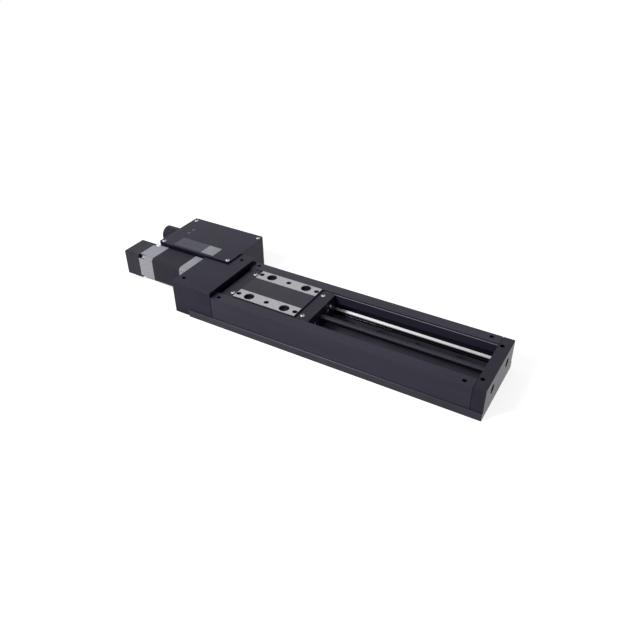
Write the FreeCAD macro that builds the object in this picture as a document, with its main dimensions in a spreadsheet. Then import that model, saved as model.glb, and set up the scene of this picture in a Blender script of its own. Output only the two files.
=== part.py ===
"""Ball screw linear module with a stepper motor, controller box and manual knob.

The origin is the centre of the base plate's underside. +X runs from the motor to the free
end block, +Y towards the side that carries the controller box, and +Z is up. The carriage
rests at the motor end of its travel. All sizes are in millimetres.
"""
import FreeCAD, Part
import math
import os
import re

import Sketcher
from FreeCAD import Rotation, Vector

doc = FreeCAD.newDocument("linear_module")
sheet = doc.addObject("Spreadsheet::Sheet", "Sizes")
# The driving sizes in millimetres, in the order the pieces are made.
SIZES = {
    # Base plate and frame
    "base_length": 380.0, "base_step": 1.25, "base_thickness": 9.5, "base_chamfer": 0.6,
    "body_width": 98.9, "wall_top": 38.8, "web_thickness": 4.4, "lip_bottom": 26.0,
    "lip_width": 15.15, "ledge_drop": 2.0, "ledge_width": 0.8, "end_block_length": 14.2,
    "end_block_chamfer": 1.2, "seam_width": 0.6, "seam_depth": 0.8, "slot_pitch": 50.0,
    "slot_rail_offset": 12.0, "slot_end_offset": 45.5, "slot_count": 6, "slot_width": 6.6,
    "slot_length": 16.6, "counterbore_width": 12.0, "counterbore_length": 22.0,
    "counterbore_depth": 5.0,
    # Motor housing
    "housing_cover": 35.3, "housing_overhang": 23.2, "housing_top": 44.7, "housing_foot": 0.5,
    "housing_chamfer": 0.8, "notch_gap": 0.3, "chamber_depth": 41.0, "shoulder_bore": 15.0,
    # Tapped holes in the tops of the frame
    "top_hole": 5.2, "top_hole_depth": 10.0, "wall_hole_inset": 6.35,
    "wall_hole_motor_inset": 9.3, "wall_hole_free_inset": 10.8, "block_hole_side": 17.35,
    "block_hole_inset": 9.7, "housing_hole_side": 13.45, "housing_hole_back_inset": 8.7,
    "housing_hole_front_inset": 13.0,
    # Frame screws, all driven from below
    "frame_screw": 4.0, "frame_clearance": 4.5, "frame_tap": 4.04, "frame_head": 7.0,
    "frame_head_height": 4.0, "frame_recess": 7.6, "frame_screw_side": 7.95,
    "frame_screw_reach": 9.0, "frame_screw_inset": 10.0, "rail_screw": 2.5,
    "rail_clearance": 2.9, "rail_tap": 2.54, "rail_head": 4.5, "rail_head_height": 2.5,
    "rail_recess": 5.0, "rail_screw_margin": 15.25, "rail_screw_reach": 4.0,
    "wall_screw_reach": 8.0, "wall_screw_inset": 2.25, "wall_screw_margin": 45.25,
    "head_sink": 0.5, "housing_screw_step": 17.0, "hole_slack": 0.5, "tip_slack": 1.0,
    # Rails and bearing blocks
    "rail_inset": 12.45, "rail_width": 7.0, "rail_height": 5.0, "rail_end_gap": 1.0,
    "groove_depth": 0.6, "groove_low": 2.2, "groove_high": 3.8, "block_length": 31.0,
    "block_width": 15.0, "block_underside": 1.5, "block_height": 8.0, "rail_gap": 0.3,
    "ridge_reach": 0.25, "block_x": 27.0, "block_screw": 2.0, "block_clearance": 2.4,
    "block_tap": 2.04, "block_head": 3.8, "block_head_height": 2.0, "block_recess": 4.3,
    "block_recess_depth": 2.3, "block_screw_pitch": 13.0, "block_screw_reach": 2.2,
    "groove_slope": 0.4, "ridge_slope": 0.3, "rail_hole_depth": 4.4, "block_tip_slack": 0.2,
    # Carriage
    "full_travel_gap": 2.8, "rest_gap": 4.3, "plate_length": 87.2, "end_cap_length": 18.1,
    "neck_gap": 1.4, "flange_gap": 0.65, "keel_gap": 1.0, "keel_bottom": 11.5,
    "flange_top": 25.3, "cap_top": 37.5, "plate_top": 39.4, "tongue_length": 10.0,
    "tongue_top": 29.0, "tongue_gap": 0.1, "strip_top": 40.0, "strip_thickness": 1.0,
    "strip_width": 17.4, "strip_end_gap": 0.3, "pad_pitch": 50.0, "pad_tap": 5.0,
    "pad_counterbore": 12.8, "pad_counterbore_depth": 4.5, "pad_hole_depth": 17.0,
    "pin_pitch": 40.0, "pin_hole": 6.4, "pin_hole_depth": 12.0, "cap_screw_x": 6.0,
    "cap_screw_inset": 8.6, "button_screw": 3.0, "button_clearance": 3.4, "button_tap": 3.04,
    "button_head": 5.7, "button_height": 1.65, "button_socket": 2.0, "cap_screw_reach": 6.0,
    "face_screw_y": 15.2, "face_screw_reach": 8.0, "nipple_inset": 11.5, "nipple_z": 27.5,
    "nipple_head": 4.4, "nipple_height": 0.4, "nipple_shank": 3.0, "nipple_depth": 6.0,
    "nipple_gap": 0.05, "cap_chamfer": 0.6, "cap_recess_depth": 2.7, "nipple_chamfer": 0.3,
    "nipple_slack": 0.3,
    # Ball screw, nut and bearings
    "screw_height": 24.6, "screw_diameter": 8.0, "screw_chamfer": 0.6, "journal": 6.0,
    "tail": 5.0, "ring_fit": 0.02, "bearing_width": 6.0, "bearing_outside": 19.0,
    "ring_thickness": 1.7, "ring_gap": 0.3, "retainer_diameter": 25.0,
    "retainer_thickness": 2.9, "retainer_bore": 10.0, "seat_slack": 0.1,
    "lock_nut_diameter": 11.0, "lock_nut_length": 4.0, "shoulder_length": 2.4,
    "float_outside": 13.0, "float_width": 5.0, "float_depth": 6.4, "float_ring": 1.2,
    "float_offset": 0.6, "nut_body": 15.0, "nut_flange": 22.0, "nut_flange_length": 4.0,
    "nut_length": 30.0, "nut_inset": 2.4, "nut_gap": 0.3, "nut_fit": 0.05,
    "nut_screw_circle": 18.4, "screw_passage": 11.0, "nut_screw_reach": 5.5,
    "nut_screw_depth": 6.0, "flange_recess_gap": 0.3, "nut_end_gap": 0.2, "hub_end_gap": 0.4,
    "journal_end_gap": 0.6, "spanner_hole": 2.0, "spanner_hole_y": 9.0,
    "spanner_hole_depth": 1.5,
    # Bumpers and travel sensors
    "bumper_diameter": 10.0, "bumper_height": 2.0, "bumper_inset": 8.1, "bumper_z": 24.6,
    "bumper_stem": 3.0, "bumper_stem_depth": 5.0, "bumper_recess": 9.0,
    "bumper_recess_depth": 5.0, "bumper_head": 5.5, "bumper_head_height": 3.0, "sensor_y": 12.0,
    "sensor_length": 8.0, "sensor_width": 5.0, "sensor_thickness": 1.2, "sensor_sink": 0.1,
    "sensor_gap": 0.1, "magnet_diameter": 4.0, "magnet_thickness": 1.5, "magnet_gap": 0.1,
    "bumper_tip_slack": 0.7,
    # Shaft coupling
    "coupling_diameter": 20.0, "hub_start": 6.2, "hub_length": 10.0, "spider_length": 6.0,
    "jaw_count": 3, "jaw_angle": 42.0, "jaw_inner": 4.6, "jaw_end_gap": 0.3, "spider_gap": 0.3,
    "spider_bore": 3.0, "motor_shaft_reach": 15.8,
    # Stepper motor
    "motor_side": 35.4, "flange_length": 15.7, "stator_length": 45.9, "bell_length": 23.2,
    "encoder_length": 23.9, "motor_chamfer": 3.0, "cover_chamfer": 1.6, "far_edge_break": 0.4,
    "pilot_diameter": 22.0, "pilot_height": 2.0, "pilot_gap": 0.05, "motor_shaft": 5.0,
    "shaft_hole_gap": 0.4, "motor_bearing_outside": 13.0, "motor_bearing_width": 4.0,
    "rotor_diameter": 21.4, "rotor_gap": 0.5, "rotor_end_gap": 3.0, "long_screw_offset": 14.7,
    "long_screw": 2.5, "long_clearance": 2.7, "long_head": 4.5, "long_head_height": 2.4,
    "long_pocket": 6.6, "long_pocket_depth": 9.5, "long_screw_reach": 6.0,
    "disc_diameter": 22.0, "disc_thickness": 1.5, "disc_gap": 8.0, "cover_wall": 2.4,
    "shaft_tail": 1.5, "cover_base_length": 12.5,
    # Controller box
    "case_length": 116.7, "case_overlap": 13.0, "case_gap": 2.0, "case_width": 80.3,
    "case_wall": 3.0, "case_corner": 3.0, "lid_thickness": 1.8, "lid_chamfer": 0.4,
    "lid_screw_left": 5.5, "lid_screw_right": 4.5, "lid_screw_near": 4.2, "lid_screw_far": 6.6,
    "boss_side": 9.0, "lid_screw_reach": 8.0, "window_left_inset": 20.5,
    "window_near_inset": 43.5, "window_pitch": 10.0, "window_diameter": 4.4,
    "window_proud": 0.3, "label_left_inset": 56.3, "label_near_inset": 13.7,
    "label_length": 65.8, "label_width": 21.2, "label_thickness": 0.2, "case_screw_z": 22.0,
    "case_screw_reach": 7.0, "case_screw_inset": 16.95, "case_screw_edge": 5.45,
    "case_screw_head": 5.5, "case_head_height": 3.0, "board_thickness": 1.6, "board_gap": 2.0,
    "board_height": 6.0, "standoff": 6.0, "standoff_x": 20.0, "standoff_y": 18.0,
    "board_left": 18.0, "board_right_gap": 3.0, "window_fit": 0.02,
    # Cable connectors
    "connector_near_inset": 16.3, "connector_pitch": 16.0, "connector_z": 18.0,
    "connector_body": 9.8, "connector_flange": 13.0, "connector_flange_thickness": 1.5,
    "connector_reach": 7.0, "connector_bore": 6.6, "connector_bore_depth": 5.5,
    "connector_tail": 6.0, "connector_gap": 0.05,
    # Manual knob
    "knob_near_inset": 45.9, "knob_z": 31.1, "knob_diameter": 23.0, "knob_length": 24.5,
    "knob_stand_off": 2.5, "knob_chamfer": 1.0, "knob_skirt": 15.0, "knob_skirt_depth": 7.0,
    "knob_press": 0.5, "knob_shaft": 6.0, "knob_shaft_gap": 0.05, "shaft_in_knob": 12.0,
    "shaft_in_case": 9.0, "bushing_diameter": 8.0, "bushing_reach": 4.5, "bushing_gap": 0.05,
    "encoder_side": 13.0, "encoder_depth": 10.5, "plunger_diameter": 4.0, "plunger_length": 2.0,
    "plunger_slack": 0.7, "flute_count": 18, "flute_width": 1.6, "flute_depth": 0.5,
    "knob_edge": 0.5,
}
# Sizes that follow from those above, so that pieces that meet move together.
TIED = {
    "base_width": "body_width + 2 * base_step",
    "channel_width": "body_width - 2 * lip_width",
    "rail_y": "body_width / 2 - rail_inset",
    "slot_row_y": "rail_y - slot_rail_offset",
    "wall_hole_y": "body_width / 2 - wall_hole_inset",
    "wall_screw_y": "body_width / 2 - wall_screw_inset",
    "frame_screw_y": "body_width / 2 - frame_screw_side",
    "block_hole_y": "body_width / 2 - block_hole_side",
    "housing_hole_y": "body_width / 2 - housing_hole_side",
    "rail_screw_pitch": "(base_length - end_block_length - housing_cover"
                        " - 2 * rail_screw_margin) / 5",
    "wall_screw_pitch": "(base_length - end_block_length - housing_cover"
                        " - 2 * wall_screw_margin) / 3",
    "travel": "base_length - end_block_length - housing_cover - plate_length"
              " - 2 * end_cap_length - rest_gap - full_travel_gap",
    "neck_width": "channel_width - 2 * neck_gap",
    "flange_width": "body_width - 2 * web_thickness - 2 * flange_gap",
    "keel_width": "2 * rail_y - block_width - 2 * keel_gap",
    "strip_inner_y": "neck_width / 2 - strip_width",
    "cap_screw_y": "neck_width / 2 - cap_screw_inset",
    "nipple_y": "neck_width / 2 - nipple_inset",
    "bumper_y": "neck_width / 2 - bumper_inset",
    "case_near": "motor_side / 2 + case_gap",
    "case_far": "case_near + case_width",
    "case_right": "base_length / 2 - case_overlap",
    "case_left": "case_right + case_length",
    "case_screw_near": "body_width / 2 - case_screw_inset",
    "case_screw_far": "body_width / 2 - case_screw_edge",
    "window_x": "case_left - window_left_inset",
    "window_y": "case_near + window_near_inset",
    "label_x": "case_left - label_left_inset",
    "label_y": "case_near + label_near_inset",
    "connector_y": "case_near + connector_near_inset",
    "knob_y": "case_near + knob_near_inset",
}
for row, name in enumerate([*SIZES, *TIED], start=1):
    sheet.set(f"A{row}", name)
    sheet.set(f"B{row}", f"={TIED[name]}" if name in TIED else str(SIZES[name]))
    sheet.setAlias(f"B{row}", name)
doc.recompute()


def number(formula):
    """What a formula of size names comes to."""
    return float(sheet.evalExpression(str(formula)))


def bound(formula):
    """The formula for setExpression, with the sheet's name before each size name."""
    return re.sub(r"[a-z_]\w*", lambda word: "Sizes." + word.group()
                  if word.group() in SIZES or word.group() in TIED else word.group(),
                  str(formula))


# Places along the module that many pieces share, as formulas of the sizes.
HOUSING_FACE = "(housing_cover - base_length / 2)"
HOUSING_BACK = "(-base_length / 2 - housing_overhang)"
BLOCK_FACE = "(base_length / 2 - end_block_length)"
WALL_LENGTH = f"({BLOCK_FACE} - {HOUSING_FACE})"
RAIL_MIDDLE = f"(({BLOCK_FACE} + {HOUSING_FACE}) / 2)"
CARRIAGE = f"({HOUSING_FACE} + rest_gap + end_cap_length + plate_length / 2)"
FLANGE_BACK = f"({HOUSING_BACK} - flange_length)"
STATOR_BACK = f"({FLANGE_BACK} - stator_length)"
BELL_BACK = f"({STATOR_BACK} - bell_length)"
SHAFT_TIP = f"({HOUSING_BACK} + motor_shaft_reach)"
SPIDER_START = f"({HOUSING_BACK} + hub_start + hub_length)"
SCREW_HUB_START = f"({SPIDER_START} + spider_length)"
SEAT_FRONT = f"({HOUSING_FACE} - retainer_thickness - seat_slack)"
SEAT_BACK = f"({SEAT_FRONT} - 2 * bearing_width - seat_slack)"
NUT_SEAT = "(plate_length / 2 - nut_inset - nut_flange_length)"


# ---- helpers: bodies, sketches and features -------------------------------------------

parts = []


def finish(piece, node):
    """Name a finished piece and list it for export."""
    piece.Label = node
    parts.append(piece)
    return piece


def body(node, x=0, y=0, z=0):
    """A new design body whose origin is placed by formulas."""
    piece = doc.addObject("PartDesign::Body", node + "_body")
    for axis, formula in zip("xyz", (x, y, z)):
        piece.setExpression(f"Placement.Base.{axis}", bound(formula))
    return finish(piece, node)


def sketch_on(piece, role, offset=0):
    """A sketch on one of the body's own origin planes, moved along its normal."""
    sketch = piece.newObject("Sketcher::SketchObject", piece.Name + "_sketch")
    plane = next(item for item in piece.Origin.OriginFeatures if item.Role == role)
    sketch.AttachmentSupport = [(plane, "")]
    sketch.MapMode = "FlatFace"
    sketch.setExpression("AttachmentOffset.Base.z", bound(offset))
    return sketch


def measure(sketch, kind, geometry, point, formula):
    """Bind one distance from the sketch's origin, or one radius, to a formula."""
    if kind == "Radius":
        constraint = Sketcher.Constraint(kind, geometry, number(formula))
    else:
        constraint = Sketcher.Constraint(kind, -1, 1, geometry, point, number(formula))
    index = sketch.addConstraint(constraint)
    sketch.setExpression(f"Constraints[{index}]", bound(formula))


def outline(sketch, corners):
    """Draw a closed outline of straight sides through corners given as formulas."""
    first = sketch.GeometryCount
    spots = [Vector(number(x), number(y), 0) for x, y in corners]
    count = len(corners)
    for index in range(count):
        side = Part.LineSegment(spots[index], spots[(index + 1) % count])
        sketch.addGeometry(side, False)
    for index in range(count):
        following = first + (index + 1) % count
        sketch.addConstraint(Sketcher.Constraint("Coincident", first + index, 2, following, 1))
    for index, (x, y) in enumerate(corners):
        measure(sketch, "DistanceX", first + index, 1, x)
        measure(sketch, "DistanceY", first + index, 1, y)


def rectangle(sketch, left, low, right, high):
    """Draw an upright rectangle between two opposite corners."""
    outline(sketch, [(left, low), (right, low), (right, high), (left, high)])


def circle(sketch, x, y, diameter):
    """Draw a circle at a place given by formulas."""
    ring = Part.Circle(Vector(number(x), number(y), 0), Vector(0, 0, 1), number(diameter) / 2)
    index = sketch.addGeometry(ring, False)
    measure(sketch, "DistanceX", index, 3, x)
    measure(sketch, "DistanceY", index, 3, y)
    measure(sketch, "Radius", index, 0, f"({diameter}) / 2")


def obround(sketch, x, y, length, width):
    """Draw a slot with round ends that runs along the sketch's first axis."""
    middle = Vector(number(x), number(y), 0)
    radius = number(width) / 2
    half = (number(length) - number(width)) / 2
    ends = []
    for sign, start in ((1, -math.pi / 2), (-1, math.pi / 2)):
        ring = Part.Circle(middle + Vector(sign * half, 0, 0), Vector(0, 0, 1), radius)
        ends.append(sketch.addGeometry(Part.ArcOfCircle(ring, start, start + math.pi), False))
    sides = []
    for sign in (1, -1):
        across = Vector(half, 0, 0) * sign
        up = Vector(0, radius, 0) * sign
        side = Part.LineSegment(middle + across + up, middle - across + up)
        sides.append(sketch.addGeometry(side, False))
    for side, arc_from, arc_to in ((sides[0], ends[0], ends[1]), (sides[1], ends[1], ends[0])):
        sketch.addConstraint(Sketcher.Constraint("Tangent", arc_from, 2, side, 1))
        sketch.addConstraint(Sketcher.Constraint("Tangent", side, 2, arc_to, 1))
    for arc, sign in ((ends[0], "+"), (ends[1], "-")):
        measure(sketch, "DistanceX", arc, 3, f"({x}) {sign} (({length}) - ({width})) / 2")
        measure(sketch, "DistanceY", arc, 3, y)
    measure(sketch, "Radius", ends[0], 0, f"({width}) / 2")


def pad(piece, sketch, length):
    """Extrude a sketch along its normal."""
    feature = piece.newObject("PartDesign::Pad", piece.Name + "_pad")
    feature.Profile = sketch
    feature.setExpression("Length", bound(length))
    return feature


def pocket(piece, sketch, depth, along_normal=False):
    """Cut a sketch into the body, against its normal unless told otherwise."""
    feature = piece.newObject("PartDesign::Pocket", piece.Name + "_pocket")
    feature.Profile = sketch
    feature.Reversed = along_normal
    feature.setExpression("Length", bound(depth))
    return feature


def holes(piece, role, level, centres, diameter, depth, along_normal=False):
    """Cut equal round holes from a level on one of the body's planes."""
    sketch = sketch_on(piece, role, level)
    for x, y in centres:
        circle(sketch, x, y, diameter)
    return pocket(piece, sketch, depth, along_normal)


def slab(piece, left, near, right, far, low, high):
    """Pad an upright block between two opposite corners and two heights."""
    sketch = sketch_on(piece, "XY_Plane", low)
    rectangle(sketch, left, near, right, far)
    return pad(piece, sketch, f"({high}) - ({low})")


def turned(piece, corners):
    """Revolve an outline of (along X, radius) corners once round the body's X axis."""
    sketch = sketch_on(piece, "XZ_Plane")
    outline(sketch, corners)
    feature = piece.newObject("PartDesign::Revolution", piece.Name + "_turned")
    feature.Profile = sketch
    feature.ReferenceAxis = (sketch, ["H_Axis"])
    feature.Angle = 360.0
    return feature


def edges_where(piece, test):
    """Names of the body's present edges whose two end points, in its frame, pass a test."""
    doc.recompute()
    found = []
    for index, edge in enumerate(piece.Tip.Shape.Edges, start=1):
        ends = [vertex.Point for vertex in edge.Vertexes]
        if len(ends) == 2 and test(ends[0], ends[1]):
            found.append(f"Edge{index}")
    return found


def dress(piece, kind, size, test):
    """Chamfer or fillet the edges that pass a test on their two end points."""
    chosen, before = edges_where(piece, test), piece.Tip
    feature = piece.newObject("PartDesign::" + kind, piece.Name + "_" + kind.lower())
    feature.Base = (before, chosen)
    feature.setExpression("Radius" if kind == "Fillet" else "Size", bound(size))
    return feature


def upright(start, end):
    """True for an edge along Z."""
    return abs(start.x - end.x) < 1e-6 and abs(start.y - end.y) < 1e-6


def lengthwise(start, end):
    """True for an edge along X."""
    return abs(start.y - end.y) < 1e-6 and abs(start.z - end.z) < 1e-6


def group(node, source, places):
    """One node of identical loose pieces: the source shape, set at each placement."""
    piece = doc.addObject("Part::Feature", node + "_group")
    piece.Shape = Part.makeCompound([source.transformed(spot.toMatrix()) for spot in places])
    return finish(piece, node)


def spot(x, y, z, direction=Vector(0, 0, 1)):
    """A placement at a point given by formulas, with the piece's +Z turned to a direction."""
    turn = Rotation(Vector(0, 0, 1), direction)
    return FreeCAD.Placement(Vector(number(x), number(y), number(z)), turn)


def hexagon(across, low, height=5.0):
    """A hexagonal prism of a width across flats, for cutting a driver socket."""
    reach = across / math.sqrt(3)
    corners = [Vector(reach * math.cos(turn * math.pi / 3), reach * math.sin(turn * math.pi / 3),
                      low) for turn in range(7)]
    return Part.Face(Part.makePolygon(corners)).extrude(Vector(0, 0, height))


def cap_screw(shank, length, head, head_height):
    """A socket head cap screw: its head's seat at z = 0, head up, shank down."""
    shape = Part.makeCylinder(number(shank) / 2, number(length), Vector(0, 0, -number(length)))
    shape = shape.fuse(Part.makeCylinder(number(head) / 2, number(head_height)))
    recess = hexagon(number(head) * 0.45, number(head_height) / 2)
    return shape.cut(recess).removeSplitter()


def button_screw(shank, length):
    """A button head screw with a domed head and a hexagon socket, head up, seat at z = 0."""
    radius, height = number("button_head / 2"), number("button_height")
    sphere_radius = (radius ** 2 + height ** 2) / (2 * height)
    dome = Part.makeSphere(sphere_radius, Vector(0, 0, height - sphere_radius))
    head = dome.common(Part.makeCylinder(radius, height))
    shape = head.fuse(Part.makeCylinder(number(shank) / 2, number(length),
                                        Vector(0, 0, -number(length))))
    recess = hexagon(number("button_socket"), height * 0.4)
    return shape.cut(recess).removeSplitter()


# ---- frame: base plate, side walls, end block and motor housing ------------------------

base = body("base_plate")
plan = sketch_on(base, "XY_Plane")
outline(plan, [("-base_length / 2", "-base_width / 2"), ("base_length / 2", "-base_width / 2"),
               ("base_length / 2", "base_width / 2"), ("-case_right", "base_width / 2"),
               ("-case_right", "case_near - notch_gap"),
               ("-base_length / 2", "case_near - notch_gap")])
pad(base, plan, "base_thickness")
dress(base, "Chamfer", "base_chamfer", lambda a, b: a.z > 1 and b.z > 1 and lengthwise(a, b)
      and abs(a.y) > number("base_width / 2") - 0.01)

slot_places = [(f"base_length / 2 - slot_end_offset - {index} * slot_pitch",
                f"{side} * slot_row_y") for index in range(int(number("slot_count")))
               for side in (-1, 1)]
wide = sketch_on(base, "XY_Plane", "base_thickness")
for x, y in slot_places:
    obround(wide, x, y, "counterbore_length", "counterbore_width")
pocket(base, wide, "counterbore_depth")
narrow = sketch_on(base, "XY_Plane", "base_thickness")
for x, y in slot_places:
    obround(narrow, x, y, "slot_length", "slot_width")
pocket(base, narrow, "base_thickness")

rail_screws = [(f"{RAIL_MIDDLE} + {step} * rail_screw_pitch", f"{side} * rail_y")
               for step in (-2.5, -1.5, -0.5, 0.5, 1.5, 2.5) for side in (-1, 1)]
wall_screws = [(f"{RAIL_MIDDLE} + {step} * wall_screw_pitch", f"{side} * wall_screw_y")
               for step in (-1.5, -0.5, 0.5, 1.5) for side in (-1, 1)]
block_screws = [("base_length / 2 - end_block_length / 2", f"{side} * frame_screw_y")
                for side in (-1, 1)]
housing_screws = [(f"{HOUSING_FACE} - frame_screw_inset", "frame_screw_y"),
                  (f"{HOUSING_FACE} - frame_screw_inset", "-frame_screw_y"),
                  (f"{HOUSING_FACE} - frame_screw_inset - housing_screw_step", "-frame_screw_y")]
light, heavy = rail_screws + wall_screws, block_screws + housing_screws
holes(base, "XY_Plane", 0, light, "rail_clearance", "base_thickness", True)
holes(base, "XY_Plane", 0, light, "rail_recess", "rail_head_height + head_sink", True)
holes(base, "XY_Plane", 0, heavy, "frame_clearance", "base_thickness", True)
holes(base, "XY_Plane", 0, heavy, "frame_recess", "frame_head_height + head_sink", True)
sensor_places = [(f"{CARRIAGE} + {way} * travel", "sensor_y") for way in (0, 1)]
sensor_beds = sketch_on(base, "XY_Plane", "base_thickness")
for x, y in sensor_places:
    rectangle(sensor_beds, f"{x} - sensor_length / 2 - sensor_gap",
              f"{y} - sensor_width / 2 - sensor_gap", f"{x} + sensor_length / 2 + sensor_gap",
              f"{y} + sensor_width / 2 + sensor_gap")
pocket(base, sensor_beds, "sensor_thickness + sensor_sink")

for node, side in (("near_side_wall", -1), ("far_side_wall", 1)):
    wall = body(node, HOUSING_FACE, 0, "base_thickness")
    section = sketch_on(wall, "YZ_Plane")
    outer, lip = f"{side} * body_width / 2", f"{side} * channel_width / 2"
    ledge = f"{side} * (channel_width / 2 - ledge_width)"
    web = f"{side} * (body_width / 2 - web_thickness)"
    top, under = "wall_top - base_thickness", "lip_bottom - base_thickness"
    outline(section, [(outer, 0), (outer, top), (lip, top), (lip, f"{top} - ledge_drop"),
                      (ledge, f"{top} - ledge_drop"), (ledge, under), (web, under), (web, 0)])
    pad(wall, section, WALL_LENGTH)
    holes(wall, "XY_Plane", top,
          [("wall_hole_motor_inset", f"{side} * wall_hole_y"),
           (f"{WALL_LENGTH} - wall_hole_free_inset", f"{side} * wall_hole_y")],
          "top_hole", "top_hole_depth")
    holes(wall, "XY_Plane", 0, [(f"{x} - {HOUSING_FACE}", y) for x, y in wall_screws
                                if number(y) * side > 0], "rail_tap", "wall_screw_reach", True)

end_block = body("end_block", BLOCK_FACE, 0, "base_thickness")
slab(end_block, "seam_width", "-body_width / 2", "end_block_length", "body_width / 2", 0,
     "wall_top - base_thickness")
slab(end_block, 0, "seam_depth - body_width / 2", "seam_width", "body_width / 2 - seam_depth", 0,
     "wall_top - base_thickness - seam_depth")
dress(end_block, "Chamfer", "end_block_chamfer",
      lambda a, b: upright(a, b) and a.x > number("end_block_length") - 0.1)
holes(end_block, "XY_Plane", "wall_top - base_thickness",
      [("end_block_length - block_hole_inset", f"{side} * block_hole_y") for side in (-1, 1)],
      "top_hole", "top_hole_depth")
holes(end_block, "XY_Plane", 0, [(f"{x} - {BLOCK_FACE}", y) for x, y in block_screws],
      "frame_tap", "frame_screw_reach", True)
block_axis = "screw_height - base_thickness"
holes(end_block, "YZ_Plane", 0, [(0, block_axis)], "float_outside + 2 * ring_fit",
      "float_depth", True)
bumper_spots = [(f"{side} * bumper_y", "bumper_z - base_thickness") for side in (-1, 1)]
holes(end_block, "YZ_Plane", 0, bumper_spots, "button_clearance", "end_block_length", True)
holes(end_block, "YZ_Plane", "end_block_length", bumper_spots, "bumper_recess",
      "bumper_recess_depth")

housing = body("motor_housing", HOUSING_BACK, 0, 0)
plan = sketch_on(housing, "XY_Plane", "base_thickness")
length = "housing_cover + housing_overhang"
notch = f"-case_right - {HOUSING_BACK}"
outline(plan, [(0, "-body_width / 2"), (length, "-body_width / 2"), (length, "body_width / 2"),
               (notch, "body_width / 2"), (notch, "case_near - notch_gap"),
               (0, "case_near - notch_gap")])
pad(housing, plan, "housing_top - base_thickness")
slab(housing, 0, "-body_width / 2", "housing_overhang", "case_near - notch_gap",
     "housing_foot", "base_thickness")
housing_z = number("housing_top") - 0.01
dress(housing, "Chamfer", "housing_chamfer",
      lambda a, b: a.z > housing_z and b.z > housing_z and abs(a.y - b.y) < 1e-6
      or upright(a, b) and abs(a.x) < 0.01 and a.y < 0)
holes(housing, "XY_Plane", "housing_top",
      [("housing_hole_back_inset", "-housing_hole_y"),
       (f"{length} - housing_hole_front_inset", "housing_hole_y")],
      "top_hole", "top_hole_depth")
holes(housing, "XY_Plane", "base_thickness",
      [(f"{x} - {HOUSING_BACK}", y) for x, y in housing_screws],
      "frame_tap", "frame_screw_reach", True)
axis = [(0, "screw_height")]
holes(housing, "YZ_Plane", 0, axis, "pilot_diameter + 2 * pilot_gap", "chamber_depth", True)
holes(housing, "YZ_Plane", length, axis, "shoulder_bore", length)
holes(housing, "YZ_Plane", length, axis, "bearing_outside + 2 * ring_fit",
      f"{HOUSING_FACE} - {SEAT_BACK}")
holes(housing, "YZ_Plane", length, axis, "retainer_diameter + 2 * ring_fit",
      "retainer_thickness + seat_slack")
long_spots = [(f"{side} * long_screw_offset", f"screw_height + {rise} * long_screw_offset")
              for side in (-1, 1) for rise in (-1, 1)]
holes(housing, "YZ_Plane", 0, long_spots, "long_screw", "long_screw_reach + tip_slack", True)
holes(housing, "YZ_Plane", length,
      [(f"{side} * bumper_y", "bumper_z") for side in (-1, 1)], "bumper_stem",
      "bumper_stem_depth")
case_spots = [("case_screw_near", "case_screw_z"), ("case_screw_far", "case_screw_z")]
holes(housing, "YZ_Plane", notch, case_spots, "button_tap", "case_screw_reach", True)

down = Vector(0, 0, -1)
group("rail_screws", cap_screw("rail_screw", "base_thickness - rail_head_height - head_sink"
                               " + rail_screw_reach", "rail_head", "rail_head_height"),
      [spot(x, y, "rail_head_height + head_sink", down) for x, y in rail_screws])
group("side_wall_screws", cap_screw("rail_screw", "base_thickness - rail_head_height"
                                    " - head_sink + wall_screw_reach - tip_slack", "rail_head",
                                    "rail_head_height"),
      [spot(x, y, "rail_head_height + head_sink", down) for x, y in wall_screws])
group("frame_screws", cap_screw("frame_screw", "base_thickness - frame_head_height"
                                " - head_sink + frame_screw_reach - tip_slack", "frame_head",
                                "frame_head_height"),
      [spot(x, y, "frame_head_height + head_sink", down) for x, y in heavy])


# ---- linear guides ---------------------------------------------------------------------

for node, side in (("near_rail", -1), ("far_rail", 1)):
    rail = body(node, f"{HOUSING_FACE} + rail_end_gap", f"{side} * rail_y", "base_thickness")
    section = sketch_on(rail, "YZ_Plane")
    half, neck = "rail_width / 2", "rail_width / 2 - groove_depth"
    flank = [(half, 0), (half, "groove_low"), (neck, "groove_low + groove_slope"),
             (neck, "groove_high - groove_slope"), (half, "groove_high"), (half, "rail_height")]
    outline(section, flank + [(f"-({y})", z) for y, z in reversed(flank)])
    pad(rail, section, f"{WALL_LENGTH} - 2 * rail_end_gap")
    holes(rail, "XY_Plane", 0, [(f"{x} - {HOUSING_FACE} - rail_end_gap", 0)
                                for x, y in rail_screws if number(y) * side > 0],
          "rail_tap", "rail_hole_depth", True)

# One bearing block: a saddle whose inner ridges run in the rail's grooves.
saddle = body("bearing_block_form")
parts.remove(saddle)
section = sketch_on(saddle, "YZ_Plane")
wide, inside = "block_width / 2", "(rail_width / 2 + rail_gap)"
ridge = f"({inside} - rail_gap - ridge_reach)"
roof = "rail_height + rail_gap"
flank = [(inside, roof), (inside, "groove_high - ridge_slope"),
         (ridge, "groove_high - 2 * ridge_slope"), (ridge, "groove_low + 2 * ridge_slope"),
         (inside, "groove_low + ridge_slope"), (inside, "block_underside"),
         (wide, "block_underside"), (wide, "block_height")]
outline(section, flank + [(f"-({y})", z) for y, z in reversed(flank)])
pad(saddle, section, "block_length")
holes(saddle, "XY_Plane", "block_height",
      [(f"block_length / 2 + {way} * block_screw_pitch / 2", 0) for way in (-1, 1)],
      "block_tap", "block_screw_reach")
doc.recompute()
for node, side in (("near_bearing_blocks", -1), ("far_bearing_blocks", 1)):
    group(node, saddle.Shape,
          [spot(f"{CARRIAGE} + {way} * block_x - block_length / 2", f"{side} * rail_y",
                "base_thickness") for way in (-1, 1)])


# ---- carriage --------------------------------------------------------------------------

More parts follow.
